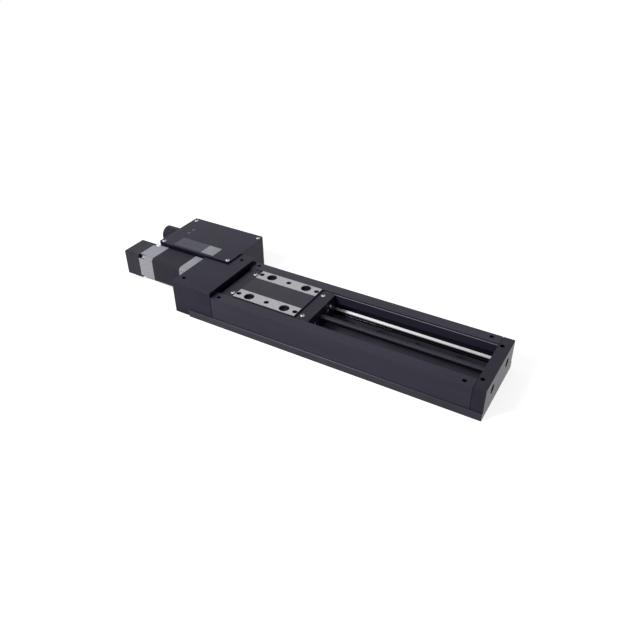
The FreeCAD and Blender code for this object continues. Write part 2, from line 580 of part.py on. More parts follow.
plate = body("carriage_plate", CARRIAGE, 0, 0)
half = "plate_length / 2"
slab(plate, f"-{half}", "-keel_width / 2", half, "keel_width / 2", "keel_bottom",
     "base_thickness + block_height")
slab(plate, f"-{half}", "-flange_width / 2", half, "flange_width / 2",
     "base_thickness + block_height", "flange_top")
slab(plate, f"-{half}", "-neck_width / 2", half, "neck_width / 2", "flange_top", "plate_top")
slab(plate, f"-{half} - tongue_length", "-keel_width / 2", f"{half} + tongue_length",
     "keel_width / 2", "keel_bottom", "tongue_top")
beds = sketch_on(plate, "XY_Plane", "plate_top")
for low, high in (("-neck_width / 2", "-strip_inner_y"), ("strip_inner_y", "neck_width / 2")):
    rectangle(beds, f"-{half} + strip_end_gap", low, f"{half} - strip_end_gap", high)
pocket(plate, beds, "plate_top - strip_top + strip_thickness")
pad_spots = [(f"{way} * pad_pitch / 2", f"{side} * slot_row_y") for way in (-1, 1)
             for side in (-1, 1)]
pin_spots = [(f"{way} * pin_pitch", f"{side} * slot_row_y") for way in (-1, 0, 1)
             for side in (-1, 1)]
holes(plate, "XY_Plane", "strip_top", pad_spots, "pad_tap", "pad_hole_depth")
holes(plate, "XY_Plane", "strip_top", pad_spots, "pad_counterbore", "pad_counterbore_depth")
holes(plate, "XY_Plane", "strip_top", pin_spots, "pin_hole", "pin_hole_depth")
reach = f"({half} + tongue_length)"
holes(plate, "YZ_Plane", reach, axis, "screw_passage", f"2 * {reach}")
holes(plate, "YZ_Plane", reach, axis, "nut_body + 2 * nut_fit", f"{reach} - {NUT_SEAT}"
      " + nut_length - nut_flange_length + nut_end_gap")
holes(plate, "YZ_Plane", reach, axis, "nut_flange + 2 * flange_recess_gap", f"{reach} - {NUT_SEAT}")
nut_turns = (45, 135, 225, 315)
nut_spots = [(f"nut_screw_circle / 2 * cos({turn} deg)",
              f"screw_height + nut_screw_circle / 2 * sin({turn} deg)") for turn in nut_turns]
holes(plate, "YZ_Plane", NUT_SEAT, nut_spots, "block_tap", "nut_screw_depth")
face_spots = [(f"{side} * face_screw_y", "screw_height") for side in (-1, 1)]
cap_spots = [(f"{way} * ({half} + cap_screw_x)", f"{side} * cap_screw_y") for way in (-1, 1)
             for side in (-1, 1)]
holes(plate, "YZ_Plane", reach, face_spots, "rail_tap", "face_screw_reach")
holes(plate, "YZ_Plane", f"-{reach}", face_spots, "rail_tap", "face_screw_reach", True)
holes(plate, "XY_Plane", "tongue_top", cap_spots, "button_tap", "cap_screw_reach + hole_slack")
block_spots = [(f"{way} * block_x + {step} * block_screw_pitch / 2", f"{side} * rail_y")
               for way in (-1, 1) for step in (-1, 1) for side in (-1, 1)]
holes(plate, "XY_Plane", "flange_top", block_spots, "block_clearance",
      "flange_top - base_thickness - block_height")
holes(plate, "XY_Plane", "flange_top", block_spots, "block_recess", "block_recess_depth")
holes(plate, "XY_Plane", "keel_bottom", [(0, "sensor_y")], "magnet_diameter + magnet_gap",
      "magnet_thickness + magnet_gap", True)

strip = body("mounting_strip_form")
parts.remove(strip)
slab(strip, f"-{half} + strip_end_gap", "strip_inner_y", f"{half} - strip_end_gap",
     "neck_width / 2", 0, "strip_thickness")
holes(strip, "XY_Plane", "strip_thickness", pad_spots[1::2], "pad_counterbore",
      "strip_thickness")
holes(strip, "XY_Plane", "strip_thickness", pin_spots[1::2], "pin_hole", "strip_thickness")
doc.recompute()
half_turn = FreeCAD.Placement(Vector(number(CARRIAGE), 0, number("strip_top - strip_thickness")),
                              Rotation(Vector(0, 0, 1), 180))
group("mounting_strips", strip.Shape,
      [spot(CARRIAGE, 0, "strip_top - strip_thickness"), half_turn])

for node, way in (("front_end_cap", 1), ("rear_end_cap", -1)):
    cap = body(node, f"{CARRIAGE} + {way} * {half}", 0, 0)
    far_end, hood = f"{way} * end_cap_length", f"{way} * (tongue_length + tongue_gap)"
    slab(cap, *((0, "-neck_width / 2", far_end, "neck_width / 2") if way > 0 else
                (far_end, "-neck_width / 2", 0, "neck_width / 2")), "keel_bottom", "cap_top")
    under = sketch_on(cap, "XY_Plane", "keel_bottom")
    rectangle(under, *((0, "-keel_width / 2 - tongue_gap", hood, "keel_width / 2 + tongue_gap")
                       if way > 0 else
                       (hood, "-keel_width / 2 - tongue_gap", 0, "keel_width / 2 + tongue_gap")))
    pocket(cap, under, "tongue_top - keel_bottom", True)
    outer_face = number("end_cap_length")
    dress(cap, "Chamfer", "cap_chamfer",
          lambda a, b: upright(a, b) and abs(a.x) > outer_face - 0.01)
    level, inward = far_end, way < 0
    holes(cap, "YZ_Plane", level, axis, "screw_passage", "end_cap_length", inward)
    holes(cap, "YZ_Plane", level, face_spots, "rail_clearance", "end_cap_length", inward)
    holes(cap, "YZ_Plane", level, face_spots, "rail_recess", "cap_recess_depth", inward)
    holes(cap, "XY_Plane", "cap_top", [(f"{way} * cap_screw_x", f"{side} * cap_screw_y")
                                       for side in (-1, 1)], "button_clearance",
          "cap_top - tongue_top")
    if way > 0:
        holes(cap, "YZ_Plane", level, [("nipple_y", "nipple_z")],
              "nipple_shank + 2 * nipple_gap", "nipple_depth", inward)

group("cap_top_screws", button_screw("button_screw", "cap_top - tongue_top + cap_screw_reach"),
      [spot(f"{CARRIAGE} + {x}", y, "cap_top") for x, y in cap_spots])
cap_face = "(plate_length / 2 + end_cap_length - cap_recess_depth)"
group("cap_face_screws",
      cap_screw("rail_screw", f"{cap_face} - {reach} + face_screw_reach - hole_slack", "rail_head",
                "rail_head_height"),
      [spot(f"{CARRIAGE} + {way} * {cap_face}", y, z, Vector(way, 0, 0))
       for way in (-1, 1) for y, z in face_spots])
group("bearing_block_screws",
      cap_screw("block_screw", "flange_top - block_recess_depth - base_thickness - block_height"
                " + block_screw_reach - block_tip_slack", "block_head", "block_head_height"),
      [spot(f"{CARRIAGE} + {x}", y, "flange_top - block_recess_depth") for x, y in block_spots])

nipple = body("grease_nipple", f"{CARRIAGE} + {half} + end_cap_length", "nipple_y", "nipple_z")
turned(nipple, [("-nipple_depth + nipple_slack", 0), ("nipple_height", 0),
                ("nipple_height", "nipple_head / 2 - nipple_chamfer"),
                ("nipple_height - nipple_chamfer", "nipple_head / 2"), (0, "nipple_head / 2"),
                (0, "nipple_shank / 2"), ("-nipple_depth + nipple_slack", "nipple_shank / 2")])
magnet = doc.addObject("Part::Cylinder", "magnet")
magnet.setExpression("Radius", bound("magnet_diameter / 2"))
magnet.setExpression("Height", bound("magnet_thickness"))
magnet.Placement = spot(CARRIAGE, "sensor_y", "keel_bottom")
finish(magnet, "sensor_magnet")
pill = Part.makeBox(number("sensor_length"), number("sensor_width"), number("sensor_thickness"),
                    Vector(-number("sensor_length") / 2, -number("sensor_width") / 2, 0))
group("travel_sensors", pill,
      [spot(x, y, "base_thickness - sensor_thickness - sensor_sink") for x, y in sensor_places])
rubber = Part.makeCylinder(number("bumper_diameter / 2"), number("bumper_height"))
stem = Part.makeCylinder(number("bumper_stem / 2"), number("bumper_stem_depth - hole_slack"),
                         Vector(0, 0, 0), down)
bumper_rows = [(side, f"{side} * bumper_y") for side in (-1, 1)]
group("home_bumpers", rubber.fuse(stem).removeSplitter(),
      [spot(HOUSING_FACE, y, "bumper_z", Vector(1, 0, 0)) for side, y in bumper_rows])
bite = Part.makeCylinder(number("button_tap / 2"), number("bumper_height - hole_slack"))
group("away_bumpers", rubber.cut(bite),
      [spot(BLOCK_FACE, y, "bumper_z", Vector(-1, 0, 0)) for side, y in bumper_rows])
group("bumper_screws",
      cap_screw("button_screw", "end_block_length - bumper_recess_depth + bumper_height"
                " - bumper_tip_slack", "bumper_head", "bumper_head_height"),
      [spot("base_length / 2 - bumper_recess_depth", y, "bumper_z", Vector(1, 0, 0))
       for side, y in bumper_rows])


# ---- ball screw, nut and screw bearings ------------------------------------------------

screw = body("ball_screw", SEAT_FRONT, 0, "screw_height")
big, mid, low = "screw_diameter / 2", "journal / 2", "tail / 2"
free_end = f"({BLOCK_FACE} - {SEAT_FRONT})"
tail_start = f"({SEAT_BACK} - {SEAT_FRONT} - lock_nut_length - seat_slack)"
motor_end = f"{SCREW_HUB_START} - {SEAT_FRONT} + hub_end_gap"
journal_end = f"{free_end} + float_depth - journal_end_gap"
turned(screw, [(motor_end, 0), (journal_end, 0), (journal_end, mid),
               (f"{free_end} - float_offset", mid),
               (f"{free_end} - float_offset", f"{big} - screw_chamfer"),
               (f"{free_end} - float_offset - screw_chamfer", big), (0, big), (0, mid),
               (tail_start, mid), (tail_start, low),
               (motor_end, low)])
nut = body("ball_nut", f"{CARRIAGE} + {NUT_SEAT}", 0, "screw_height")
bore, shell = "screw_diameter / 2 + nut_gap", "nut_body / 2"
turned(nut, [("nut_flange_length - nut_length", bore), ("nut_flange_length", bore),
             ("nut_flange_length", "nut_flange / 2"), (0, "nut_flange / 2"), (0, shell),
             ("nut_flange_length - nut_length", shell)])
holes(nut, "YZ_Plane", 0, [(y, z.replace("screw_height + ", "")) for y, z in nut_spots],
      "block_clearance", "nut_flange_length", True)
group("nut_screws", cap_screw("block_screw", "nut_flange_length + nut_screw_reach", "block_head",
                              "block_head_height"),
      [spot(f"{CARRIAGE} + {NUT_SEAT} + nut_flange_length", y, z, Vector(1, 0, 0))
       for y, z in nut_spots])


def ring(node, starts, length, outer, inner):
    """Plain rings on the screw's axis, all alike: one node, one solid for each start."""
    tube = Part.makeCylinder(number(outer) / 2, number(length))
    tube = tube.cut(Part.makeCylinder(number(inner) / 2, number(length)))
    return group(node, tube, [spot(x, 0, "screw_height", Vector(1, 0, 0)) for x in starts])


pair = [f"{SEAT_BACK}", f"{SEAT_BACK} + bearing_width + seat_slack / 2"]
inner_ring = "journal + 2 * ring_thickness"
ring("fixed_bearing_outer_rings", pair, "bearing_width", "bearing_outside",
     f"{inner_ring} + 2 * ring_gap")
ring("fixed_bearing_inner_rings", pair, "bearing_width", inner_ring, "journal + 2 * ring_fit")
loose = [f"{BLOCK_FACE} + float_depth - float_width - ring_fit"]
inner_ring = "journal + 2 * float_ring"
ring("floating_bearing_outer_ring", loose, "float_width", "float_outside",
     f"{inner_ring} + 2 * ring_gap")
ring("floating_bearing_inner_ring", loose, "float_width", inner_ring, "journal + 2 * ring_fit")
ring("screw_lock_nut", [f"{SEAT_BACK} - lock_nut_length - seat_slack / 2"], "lock_nut_length",
     "lock_nut_diameter", "journal + 2 * ring_fit")
retainer = body("bearing_retainer", SEAT_FRONT, 0, "screw_height")
turned(retainer, [("seat_slack", "retainer_bore / 2"), ("retainer_thickness", "retainer_bore / 2"),
                  ("retainer_thickness", "retainer_diameter / 2"),
                  ("seat_slack", "retainer_diameter / 2")])
spanner_spots = [(f"{side} * spanner_hole_y", 0) for side in (-1, 1)]
holes(retainer, "YZ_Plane", "retainer_thickness", spanner_spots, "spanner_hole",
      "spanner_hole_depth")


# ---- jaw coupling ----------------------------------------------------------------------

def sector(inner, outer, start, sweep, low, high):
    """A slice of tube along +X between two radii, from an angle in degrees."""
    place, along = Vector(low, 0, 0), Vector(1, 0, 0)
    slice_ = Part.makeCylinder(outer, high - low, place, along, sweep)
    if inner > 0:
        slice_ = slice_.cut(Part.makeCylinder(inner, high - low, place, along))
    slice_.rotate(Vector(0, 0, 0), along, start)
    return slice_


def coupling_piece(node, shape):
    """A piece of the coupling, drawn about the screw's axis from the spider's start."""
    piece = doc.addObject("Part::Feature", node + "_shape")
    piece.Shape = shape.removeSplitter()
    piece.Placement = FreeCAD.Placement(
        Vector(number(SPIDER_START), 0, number("screw_height")), Rotation())
    return finish(piece, node)


rim, hub_length = number("coupling_diameter / 2"), number("hub_length")
middle = number("spider_length")
count, sweep = int(number("jaw_count")), number("jaw_angle")
jaw_inner, end_gap = number("jaw_inner"), number("jaw_end_gap")
for node, low, high, bore, jaw_low, first in (
        ("motor_hub", -hub_length, 0.0, "motor_shaft", 0.0, 0),
        ("screw_hub", middle, middle + hub_length, "tail", end_gap, 180.0 / count)):
    hub = sector(number(bore) / 2 + number("ring_fit"), rim, 0, 360, low, high)
    for turn in range(count):
        start = first + turn * 360.0 / count
        hub = hub.fuse(sector(jaw_inner, rim, start, sweep, jaw_low, jaw_low + middle - end_gap))
    coupling_piece(node, hub)
gap = number("spider_gap")
spider = sector(number("spider_bore") / 2, jaw_inner - gap, 0, 360, gap, middle - gap)
side_gap = math.degrees(gap / (0.75 * rim))
for turn in range(2 * count):
    start = turn * 180.0 / count + sweep + side_gap
    lobe = sector(number("spider_bore") / 2, rim - gap, start, 180.0 / count - sweep
                  - 2 * side_gap, gap, middle - gap)
    spider = spider.fuse(lobe)
coupling_piece("coupling_spider", spider)


# ---- stepper motor ---------------------------------------------------------------------

def motor_block(node, back, length, chamfer="motor_chamfer"):
    """A square section of the motor, chamfered on its four long corners."""
    section = body(node, back, 0, "screw_height")
    square = sketch_on(section, "YZ_Plane")
    rectangle(square, "-motor_side / 2", "-motor_side / 2", "motor_side / 2", "motor_side / 2")
    pad(section, square, length)
    dress(section, "Chamfer", chamfer,
          lambda a, b: lengthwise(a, b) and not (a.y > 0 and a.z > 0))
    dress(section, "Chamfer", "far_edge_break",
          lambda a, b: lengthwise(a, b) and a.y > number("motor_side / 2") - 0.1 and
          a.z > number("motor_side / 2") - 0.1)
    return section


centre = [(0, 0)]
through = [(f"{side} * long_screw_offset", f"{rise} * long_screw_offset")
           for side in (-1, 1) for rise in (-1, 1)]
shaft_hole = "motor_shaft + 2 * shaft_hole_gap"
bearing_seat = "motor_bearing_outside + 2 * ring_fit"
flange = motor_block("motor_flange", FLANGE_BACK, "flange_length")
boss = sketch_on(flange, "YZ_Plane", "flange_length")
circle(boss, 0, 0, "pilot_diameter")
pad(flange, boss, "pilot_height")
holes(flange, "YZ_Plane", 0, centre, shaft_hole, "flange_length + pilot_height", True)
holes(flange, "YZ_Plane", 0, centre, bearing_seat, "motor_bearing_width", True)
holes(flange, "YZ_Plane", 0, through, "long_clearance", "flange_length", True)
stator = motor_block("motor_stator", STATOR_BACK, "stator_length")
holes(stator, "YZ_Plane", 0, centre, "rotor_diameter + 2 * rotor_gap", "stator_length", True)
holes(stator, "YZ_Plane", 0, through, "long_clearance", "stator_length", True)
bell = motor_block("motor_rear_bell", BELL_BACK, "bell_length")
holes(bell, "YZ_Plane", 0, centre, shaft_hole, "bell_length", True)
holes(bell, "YZ_Plane", "bell_length", centre, bearing_seat, "motor_bearing_width")
holes(bell, "YZ_Plane", 0, through, "long_clearance", "bell_length", True)
holes(bell, "YZ_Plane", 0, through, "long_pocket", "long_pocket_depth", True)
inside = "(motor_side / 2 - cover_wall)"
for node, back, length, floor in (
        ("encoder_base", f"{BELL_BACK} - cover_base_length", "cover_base_length", "0"),
        ("encoder_cover", f"{BELL_BACK} - encoder_length", "encoder_length - cover_base_length",
         "cover_wall")):
    shell = motor_block(node, back, length, "cover_chamfer")
    hollow = sketch_on(shell, "YZ_Plane", floor)
    rectangle(hollow, f"-{inside}", f"-{inside}", inside, inside)
    pocket(shell, hollow, length, True)
group("motor_screws",
      cap_screw("long_screw", "bell_length - long_pocket_depth + stator_length + flange_length"
                " + long_screw_reach", "long_head", "long_head_height"),
      [spot(f"{BELL_BACK} + long_pocket_depth", y, f"screw_height + {z}", Vector(-1, 0, 0))
       for y, z in through])
ring("motor_bearings", [FLANGE_BACK, f"{STATOR_BACK} - motor_bearing_width"],
     "motor_bearing_width", "motor_bearing_outside", "motor_shaft + 2 * ring_fit")
ring("motor_rotor", [f"{STATOR_BACK} + rotor_end_gap"], "stator_length - 2 * rotor_end_gap",
     "rotor_diameter", "motor_shaft + 2 * ring_fit")
disc_start = f"({BELL_BACK} - disc_gap - disc_thickness)"
ring("encoder_disc", [disc_start], "disc_thickness", "disc_diameter",
     "motor_shaft + 2 * ring_fit")
shaft = doc.addObject("Part::Cylinder", "motor_shaft")
shaft.setExpression("Radius", bound("motor_shaft / 2"))
shaft.setExpression("Height", bound(f"{SHAFT_TIP} - {disc_start} + shaft_tail"))
shaft.Placement = spot(f"{disc_start} - shaft_tail", 0, "screw_height", Vector(1, 0, 0))
finish(shaft, "motor_shaft")


# ---- controller box --------------------------------------------------------------------

case = body("controller_case", "-case_left", "case_near", "housing_foot")
case_x, case_y = "case_left - case_right", "case_far - case_near"
case_z = "housing_top - housing_foot"
slab(case, 0, 0, case_x, case_y, 0, case_z)
dress(case, "Fillet", "case_corner", lambda a, b: upright(a, b) and
      (a.x < 1 or a.y > number(case_y) - 1))
inner = sketch_on(case, "XY_Plane", "case_wall")
boss = "boss_side"
right, top = f"{case_x} - case_wall", f"{case_y} - case_wall"
outline(inner, [(boss, "case_wall"), (f"{case_x} - {boss}", "case_wall"),
                (f"{case_x} - {boss}", boss), (right, boss), (right, f"{case_y} - {boss}"),
                (f"{case_x} - {boss}", f"{case_y} - {boss}"), (f"{case_x} - {boss}", top),
                (boss, top), (boss, f"{case_y} - {boss}"), ("case_wall", f"{case_y} - {boss}"),
                ("case_wall", boss), (boss, boss)])
pocket(case, inner, f"{case_z} - case_wall", True)
lid_spots = [("lid_screw_left", "lid_screw_near"), ("lid_screw_left", f"{case_y} - lid_screw_far"),
             (f"{case_x} - lid_screw_right", "lid_screw_near"),
             (f"{case_x} - lid_screw_right", f"{case_y} - lid_screw_far")]
holes(case, "XY_Plane", case_z, lid_spots, "button_tap", "lid_screw_reach")
standoffs = sketch_on(case, "XY_Plane", "case_wall")
board_spots = [(x, y) for x in ("standoff_x", f"{case_x} - standoff_x")
               for y in ("standoff_y", f"{case_y} - standoff_y")]
for x, y in board_spots:
    circle(standoffs, x, y, "standoff")
pad(case, standoffs, "board_height")
holes(case, "YZ_Plane", case_x, [(f"{y} - case_near", f"{z} - housing_foot")
                                 for y, z in case_spots], "button_clearance", "case_wall")
plugs = [(f"connector_y + {index} * connector_pitch", "connector_z") for index in (0, 1)]
holes(case, "YZ_Plane", 0, [(f"{y} - case_near", f"{z} - housing_foot") for y, z in plugs],
      "connector_body + 2 * connector_gap", "case_wall", True)
holes(case, "YZ_Plane", 0, [("knob_y - case_near", "knob_z - housing_foot")],
      "bushing_diameter + 2 * bushing_gap", "case_wall", True)

lid = body("controller_lid", "-case_left", "case_near", "housing_top")
slab(lid, 0, 0, case_x, case_y, 0, "lid_thickness")
dress(lid, "Fillet", "case_corner", lambda a, b: upright(a, b) and
      (a.x < 1 or a.y > number(case_y) - 1))
holes(lid, "XY_Plane", "lid_thickness", lid_spots, "button_clearance", "lid_thickness")
window_spots = [("window_x", f"window_y + {way} * window_pitch / 2") for way in (-1, 1)]
holes(lid, "XY_Plane", "lid_thickness",
      [(f"case_left - {x}", f"{y} - case_near") for x, y in window_spots],
      "window_diameter + 2 * window_fit", "lid_thickness")
group("lid_screws", button_screw("button_screw", "lid_thickness + lid_screw_reach - tip_slack"),
      [spot(f"{x} - case_left", f"{y} + case_near", "housing_top + lid_thickness")
       for x, y in lid_spots])
group("case_screws", cap_screw("button_screw", "case_wall + case_screw_reach - hole_slack",
                               "case_screw_head", "case_head_height"),
      [spot("-case_right - case_wall", y, z, Vector(-1, 0, 0)) for y, z in case_spots])
lens = Part.makeCylinder(number("window_diameter / 2"),
                         number("lid_thickness + window_proud"))
group("status_windows", lens, [spot(f"-({x})", y, "housing_top") for x, y in window_spots])
plain = doc.addObject("Part::Box", "plain")
for axis_name, formula in (("Length", "label_length"), ("Width", "label_width"),
                           ("Height", "label_thickness")):
    plain.setExpression(axis_name, bound(formula))
plain.Placement = spot("-label_x - label_length / 2", "label_y - label_width / 2",
                       "housing_top + lid_thickness")
finish(plain, "blank_label")
board = body("circuit_board", "-case_left", "case_near", "housing_foot + case_wall + board_height")
wall_gap, corner = "(case_wall + board_gap)", "(boss_side + board_gap)"
edge_x, edge_y = f"({case_x} - {wall_gap} - board_right_gap)", f"({case_y} - {wall_gap})"
flat = sketch_on(board, "XY_Plane")
outline(flat, [("board_left", wall_gap), (f"{case_x} - {corner}", wall_gap),
               (f"{case_x} - {corner}", corner), (edge_x, corner),
               (edge_x, f"{case_y} - {corner}"), (f"{case_x} - {corner}", f"{case_y} - {corner}"),
               (f"{case_x} - {corner}", edge_y), ("board_left", edge_y)])
pad(board, flat, "board_thickness")

socket = Part.makeCylinder(number("connector_body / 2"),
                           number("connector_reach + case_wall + connector_tail"),
                           Vector(0, 0, -number("case_wall + connector_tail")))
socket = socket.fuse(Part.makeCylinder(number("connector_flange / 2"),
                                       number("connector_flange_thickness")))
socket = socket.cut(Part.makeCylinder(
    number("connector_bore / 2"), number("connector_bore_depth"),
    Vector(0, 0, number("connector_reach - connector_bore_depth"))))
group("cable_connectors", socket.removeSplitter(),
      [spot("-case_left", y, z, Vector(-1, 0, 0)) for y, z in plugs])


# ---- manual knob -----------------------------------------------------------------------

encoder = body("knob_encoder", "-case_left + case_wall", "knob_y", "knob_z")
block = sketch_on(encoder, "YZ_Plane")
rectangle(block, "-encoder_side / 2", "-encoder_side / 2", "encoder_side / 2", "encoder_side / 2")
pad(encoder, block, "encoder_depth")
sleeve = sketch_on(encoder, "YZ_Plane", "-case_wall - bushing_reach")
circle(sleeve, 0, 0, "bushing_diameter")
pad(encoder, sleeve, "case_wall + bushing_reach")
holes(encoder, "YZ_Plane", "-case_wall - bushing_reach", centre,
      "knob_shaft + 2 * knob_shaft_gap",
      "case_wall + bushing_reach + shaft_in_case + plunger_slack", True)
knob = body("control_knob", "-case_left - knob_stand_off", "knob_y", "knob_z")
rim = "knob_diameter / 2"
turned(knob, [("-knob_length", 0), ("-knob_length", f"{rim} - knob_chamfer"),
              ("-knob_length + knob_chamfer", rim), ("-knob_edge", rim),
              (0, f"{rim} - knob_edge"),
              (0, "knob_skirt / 2"), ("-knob_skirt_depth", "knob_skirt / 2"),
              ("-knob_skirt_depth", "knob_shaft / 2"),
              ("-knob_skirt_depth - shaft_in_knob", "knob_shaft / 2"),
              ("-knob_skirt_depth - shaft_in_knob", 0)])
flute = sketch_on(knob, "YZ_Plane", "-knob_length + 2 * knob_chamfer")
circle(flute, rim + " + flute_width / 2 - flute_depth", 0, "flute_width")
cut = pocket(knob, flute, "knob_length - 4 * knob_chamfer", True)
doc.recompute()
flutes = knob.newObject("PartDesign::PolarPattern", "knob_flutes")
flutes.Originals = [cut]
flutes.Axis = (flute, ["N_Axis"])
flutes.Angle = 360.0
flutes.setExpression("Occurrences", bound("flute_count"))
knob.Tip = flutes
rod = doc.addObject("Part::Cylinder", "knob_rod")
rod.setExpression("Radius", bound("knob_shaft / 2"))
rod.setExpression("Height", bound("shaft_in_case + case_wall - plunger_length + knob_stand_off"
                                  " + knob_skirt_depth + shaft_in_knob"))
rod.Placement = spot("-case_left - knob_stand_off - knob_skirt_depth - shaft_in_knob",
                     "knob_y", "knob_z", Vector(1, 0, 0))
finish(rod, "knob_shaft")
plunger = doc.addObject("Part::Cylinder", "plunger")
plunger.setExpression("Radius", bound("plunger_diameter / 2"))
plunger.setExpression("Height", bound("plunger_length"))
plunger.Placement = spot("-case_left + case_wall + shaft_in_case - plunger_length", "knob_y",
                         "knob_z", Vector(1, 0, 0))
finish(plunger, "switch_plunger")


# ---- check and export ------------------------------------------------------------------

doc.recompute()
for item in doc.Objects:
    if set(item.State) & {"Invalid", "Error"}:
        raise RuntimeError(f"{item.Name} did not compute: {item.State}")
os.makedirs("parts", exist_ok=True)
for piece in parts:
    shape = piece.Shape
    if shape.isNull() or not shape.isValid() or not shape.Solids:
        raise RuntimeError(f"{piece.Label} has no valid solid")
    box = shape.BoundBox
    print(f"{piece.Label:28s} {len(shape.Solids):2d} solids {shape.Volume:10.1f} mm3  "
          f"x {box.XMin:8.2f} {box.XMax:8.2f}  y {box.YMin:7.2f} {box.YMax:7.2f}  "
          f"z {box.ZMin:6.2f} {box.ZMax:6.2f}")
    shape.exportStep(f"parts/{piece.Label}.step")
print(len(parts), "nodes")
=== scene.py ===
import math

import bmesh
import bpy
from mathutils import Matrix, Vector


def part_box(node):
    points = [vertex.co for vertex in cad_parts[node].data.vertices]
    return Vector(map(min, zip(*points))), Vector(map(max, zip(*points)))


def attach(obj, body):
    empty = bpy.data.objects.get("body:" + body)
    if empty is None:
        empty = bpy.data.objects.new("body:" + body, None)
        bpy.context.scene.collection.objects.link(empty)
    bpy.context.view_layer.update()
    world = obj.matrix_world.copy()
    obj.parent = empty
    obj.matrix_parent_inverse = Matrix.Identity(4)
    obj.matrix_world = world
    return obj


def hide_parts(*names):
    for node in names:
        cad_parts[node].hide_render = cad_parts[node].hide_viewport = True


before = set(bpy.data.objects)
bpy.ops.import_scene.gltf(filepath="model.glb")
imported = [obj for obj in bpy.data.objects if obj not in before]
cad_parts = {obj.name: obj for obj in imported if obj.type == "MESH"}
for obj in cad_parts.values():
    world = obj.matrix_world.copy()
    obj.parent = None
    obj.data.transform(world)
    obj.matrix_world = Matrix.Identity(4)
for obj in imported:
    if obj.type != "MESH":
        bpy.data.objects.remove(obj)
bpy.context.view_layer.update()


# ---- base plate ----
# The base plate is 6061 aluminium, milled from bar, bead blasted and anodised black. The
# blasting leaves a fine even grain, and the dye takes a little unevenly over large faces.

MM = 0.001


def linear(hex_code):
    """A colour written as sRGB hex, as the linear values that shaders take."""
    channels = [int(hex_code[i:i + 2], 16) / 255 for i in (1, 3, 5)]
    return [c / 12.92 if c <= 0.04045 else ((c + 0.055) / 1.055) ** 2.4
            for c in channels] + [1.0]


def add(tree, kind, sockets=None, **settings):
    """Add a node of a kind, set its settings, and fill its sockets with values or links."""
    node = tree.nodes.new("ShaderNode" + kind)
    for name, value in settings.items():
        setattr(node, name, value)
    for name, value in (sockets or {}).items():
        if isinstance(value, bpy.types.NodeSocket):
            tree.links.new(value, node.inputs[name])
        else:
            node.inputs[name].default_value = value
    return node


def opened(material):
    """A material's node tree and its shader."""
    return material.node_tree, material.node_tree.nodes["Principled BSDF"]


def new_finish(name, **sockets):
    """A material with one principled shader. Underscores in a socket's name are spaces."""
    material = bpy.data.materials.new(name)
    material.use_nodes = True
    tree, shader = opened(material)
    for socket, value in sockets.items():
        shader.inputs[socket.replace("_", " ")].default_value = value
    return material, tree, shader


def vary_colour(tree, shader, source, dark, light, low=0.35, high=0.65):
    """Let a pattern run the base colour between two close shades."""
    ramp = add(tree, "ValToRGB", {"Fac": source})
    ramp.color_ramp.elements[0].position = low
    ramp.color_ramp.elements[0].color = linear(dark)
    ramp.color_ramp.elements[1].position = high
    ramp.color_ramp.elements[1].color = linear(light)
    tree.links.new(ramp.outputs["Color"], shader.inputs["Base Color"])


def vary_roughness(tree, shader, source, low, high):
    """Let a pattern run the roughness between two values."""
    spread = add(tree, "MapRange", {"Value": source, "From Min": 0.3, "From Max": 0.7,
                                    "To Min": low, "To Max": high})
    tree.links.new(spread.outputs["Result"], shader.inputs["Roughness"])


def emboss(tree, shader, height, depth_mm):
    """Raise the surface by a pattern of a depth in millimetres."""
    bump = add(tree, "Bump", {"Height": height, "Distance": depth_mm * MM, "Strength": 1.0})
    tree.links.new(bump.outputs["Normal"], shader.inputs["Normal"])


def recolour(tree, shader, mask, colour):
    """Lay another colour over the base colour where a mask is one."""
    under = shader.inputs["Base Color"].links[0].from_socket
    mixed = add(tree, "Mix", {0: mask, 6: under, 7: linear(colour)}, data_type="RGBA")
    tree.links.new(mixed.outputs[2], shader.inputs["Base Color"])


def deaden(tree, shader, mask):
    """Where a mask is one, only the base colour is left to reflect, as in a metal."""
    metallic = shader.inputs["Metallic"]
    before = metallic.links[0].from_socket if metallic.links else metallic.default_value
    most = add(tree, "Math", {0: mask, 1: before}, operation="MAXIMUM")
    tree.links.new(most.outputs[0], metallic)


def shade_recesses(tree, shader, reach_mm, least, full=0.6):
    """Painted shade: dim colour and gloss in holes and seams, where little is open round the
    surface.
    """
    opening = add(tree, "AmbientOcclusion", {"Distance": reach_mm * MM}, samples=6)
    hidden = add(tree, "MapRange", {"Value": opening.outputs["AO"], "From Min": 0.15,
                                    "From Max": full, "To Min": 1 - least, "To Max": 0.0})
    recolour(tree, shader, hidden.outputs["Result"], "#020203")
    if shader.inputs["Metallic"].default_value < 1:
        deaden(tree, shader, hidden.outputs["Result"])


def blasted_anodising(name, dark, light, gloss=0.18, stretch=1.0, blast_mm=0.5,
                      depth_mm=0.012, roughness=(0.29, 0.36)):
    """Bead-blasted and anodised aluminium: a matt oxide skin over a fine pitted grain.
    The grain of 0.1 mm glass beads is drawn at 0.5 mm, because it is too fine to show."""
    material, tree, shader = new_finish(name, IOR=1.5, Metallic=0.0, Specular_IOR_Level=gloss)
    place = add(tree, "TexCoord").outputs["Object"]
    along = add(tree, "Mapping", {"Vector": place, "Scale": (1 / stretch, 1.0, 1.0)})
    dye = add(tree, "TexNoise", {"Vector": along.outputs["Vector"], "Scale": 1 / (30 * MM),
                                 "Detail": 5.0, "Roughness": 0.6})
    vary_colour(tree, shader, dye.outputs["Fac"], dark, light)
    # Painted shade in holes and seams.
    shade_recesses(tree, shader, reach_mm=6.0, least=0.08)
    blast = add(tree, "TexNoise", {"Vector": place, "Scale": 1 / (blast_mm * MM),
                                   "Detail": 2.0})
    vary_roughness(tree, shader, blast.outputs["Fac"], *roughness)
    emboss(tree, shader, blast.outputs["Fac"], depth_mm)
    return material


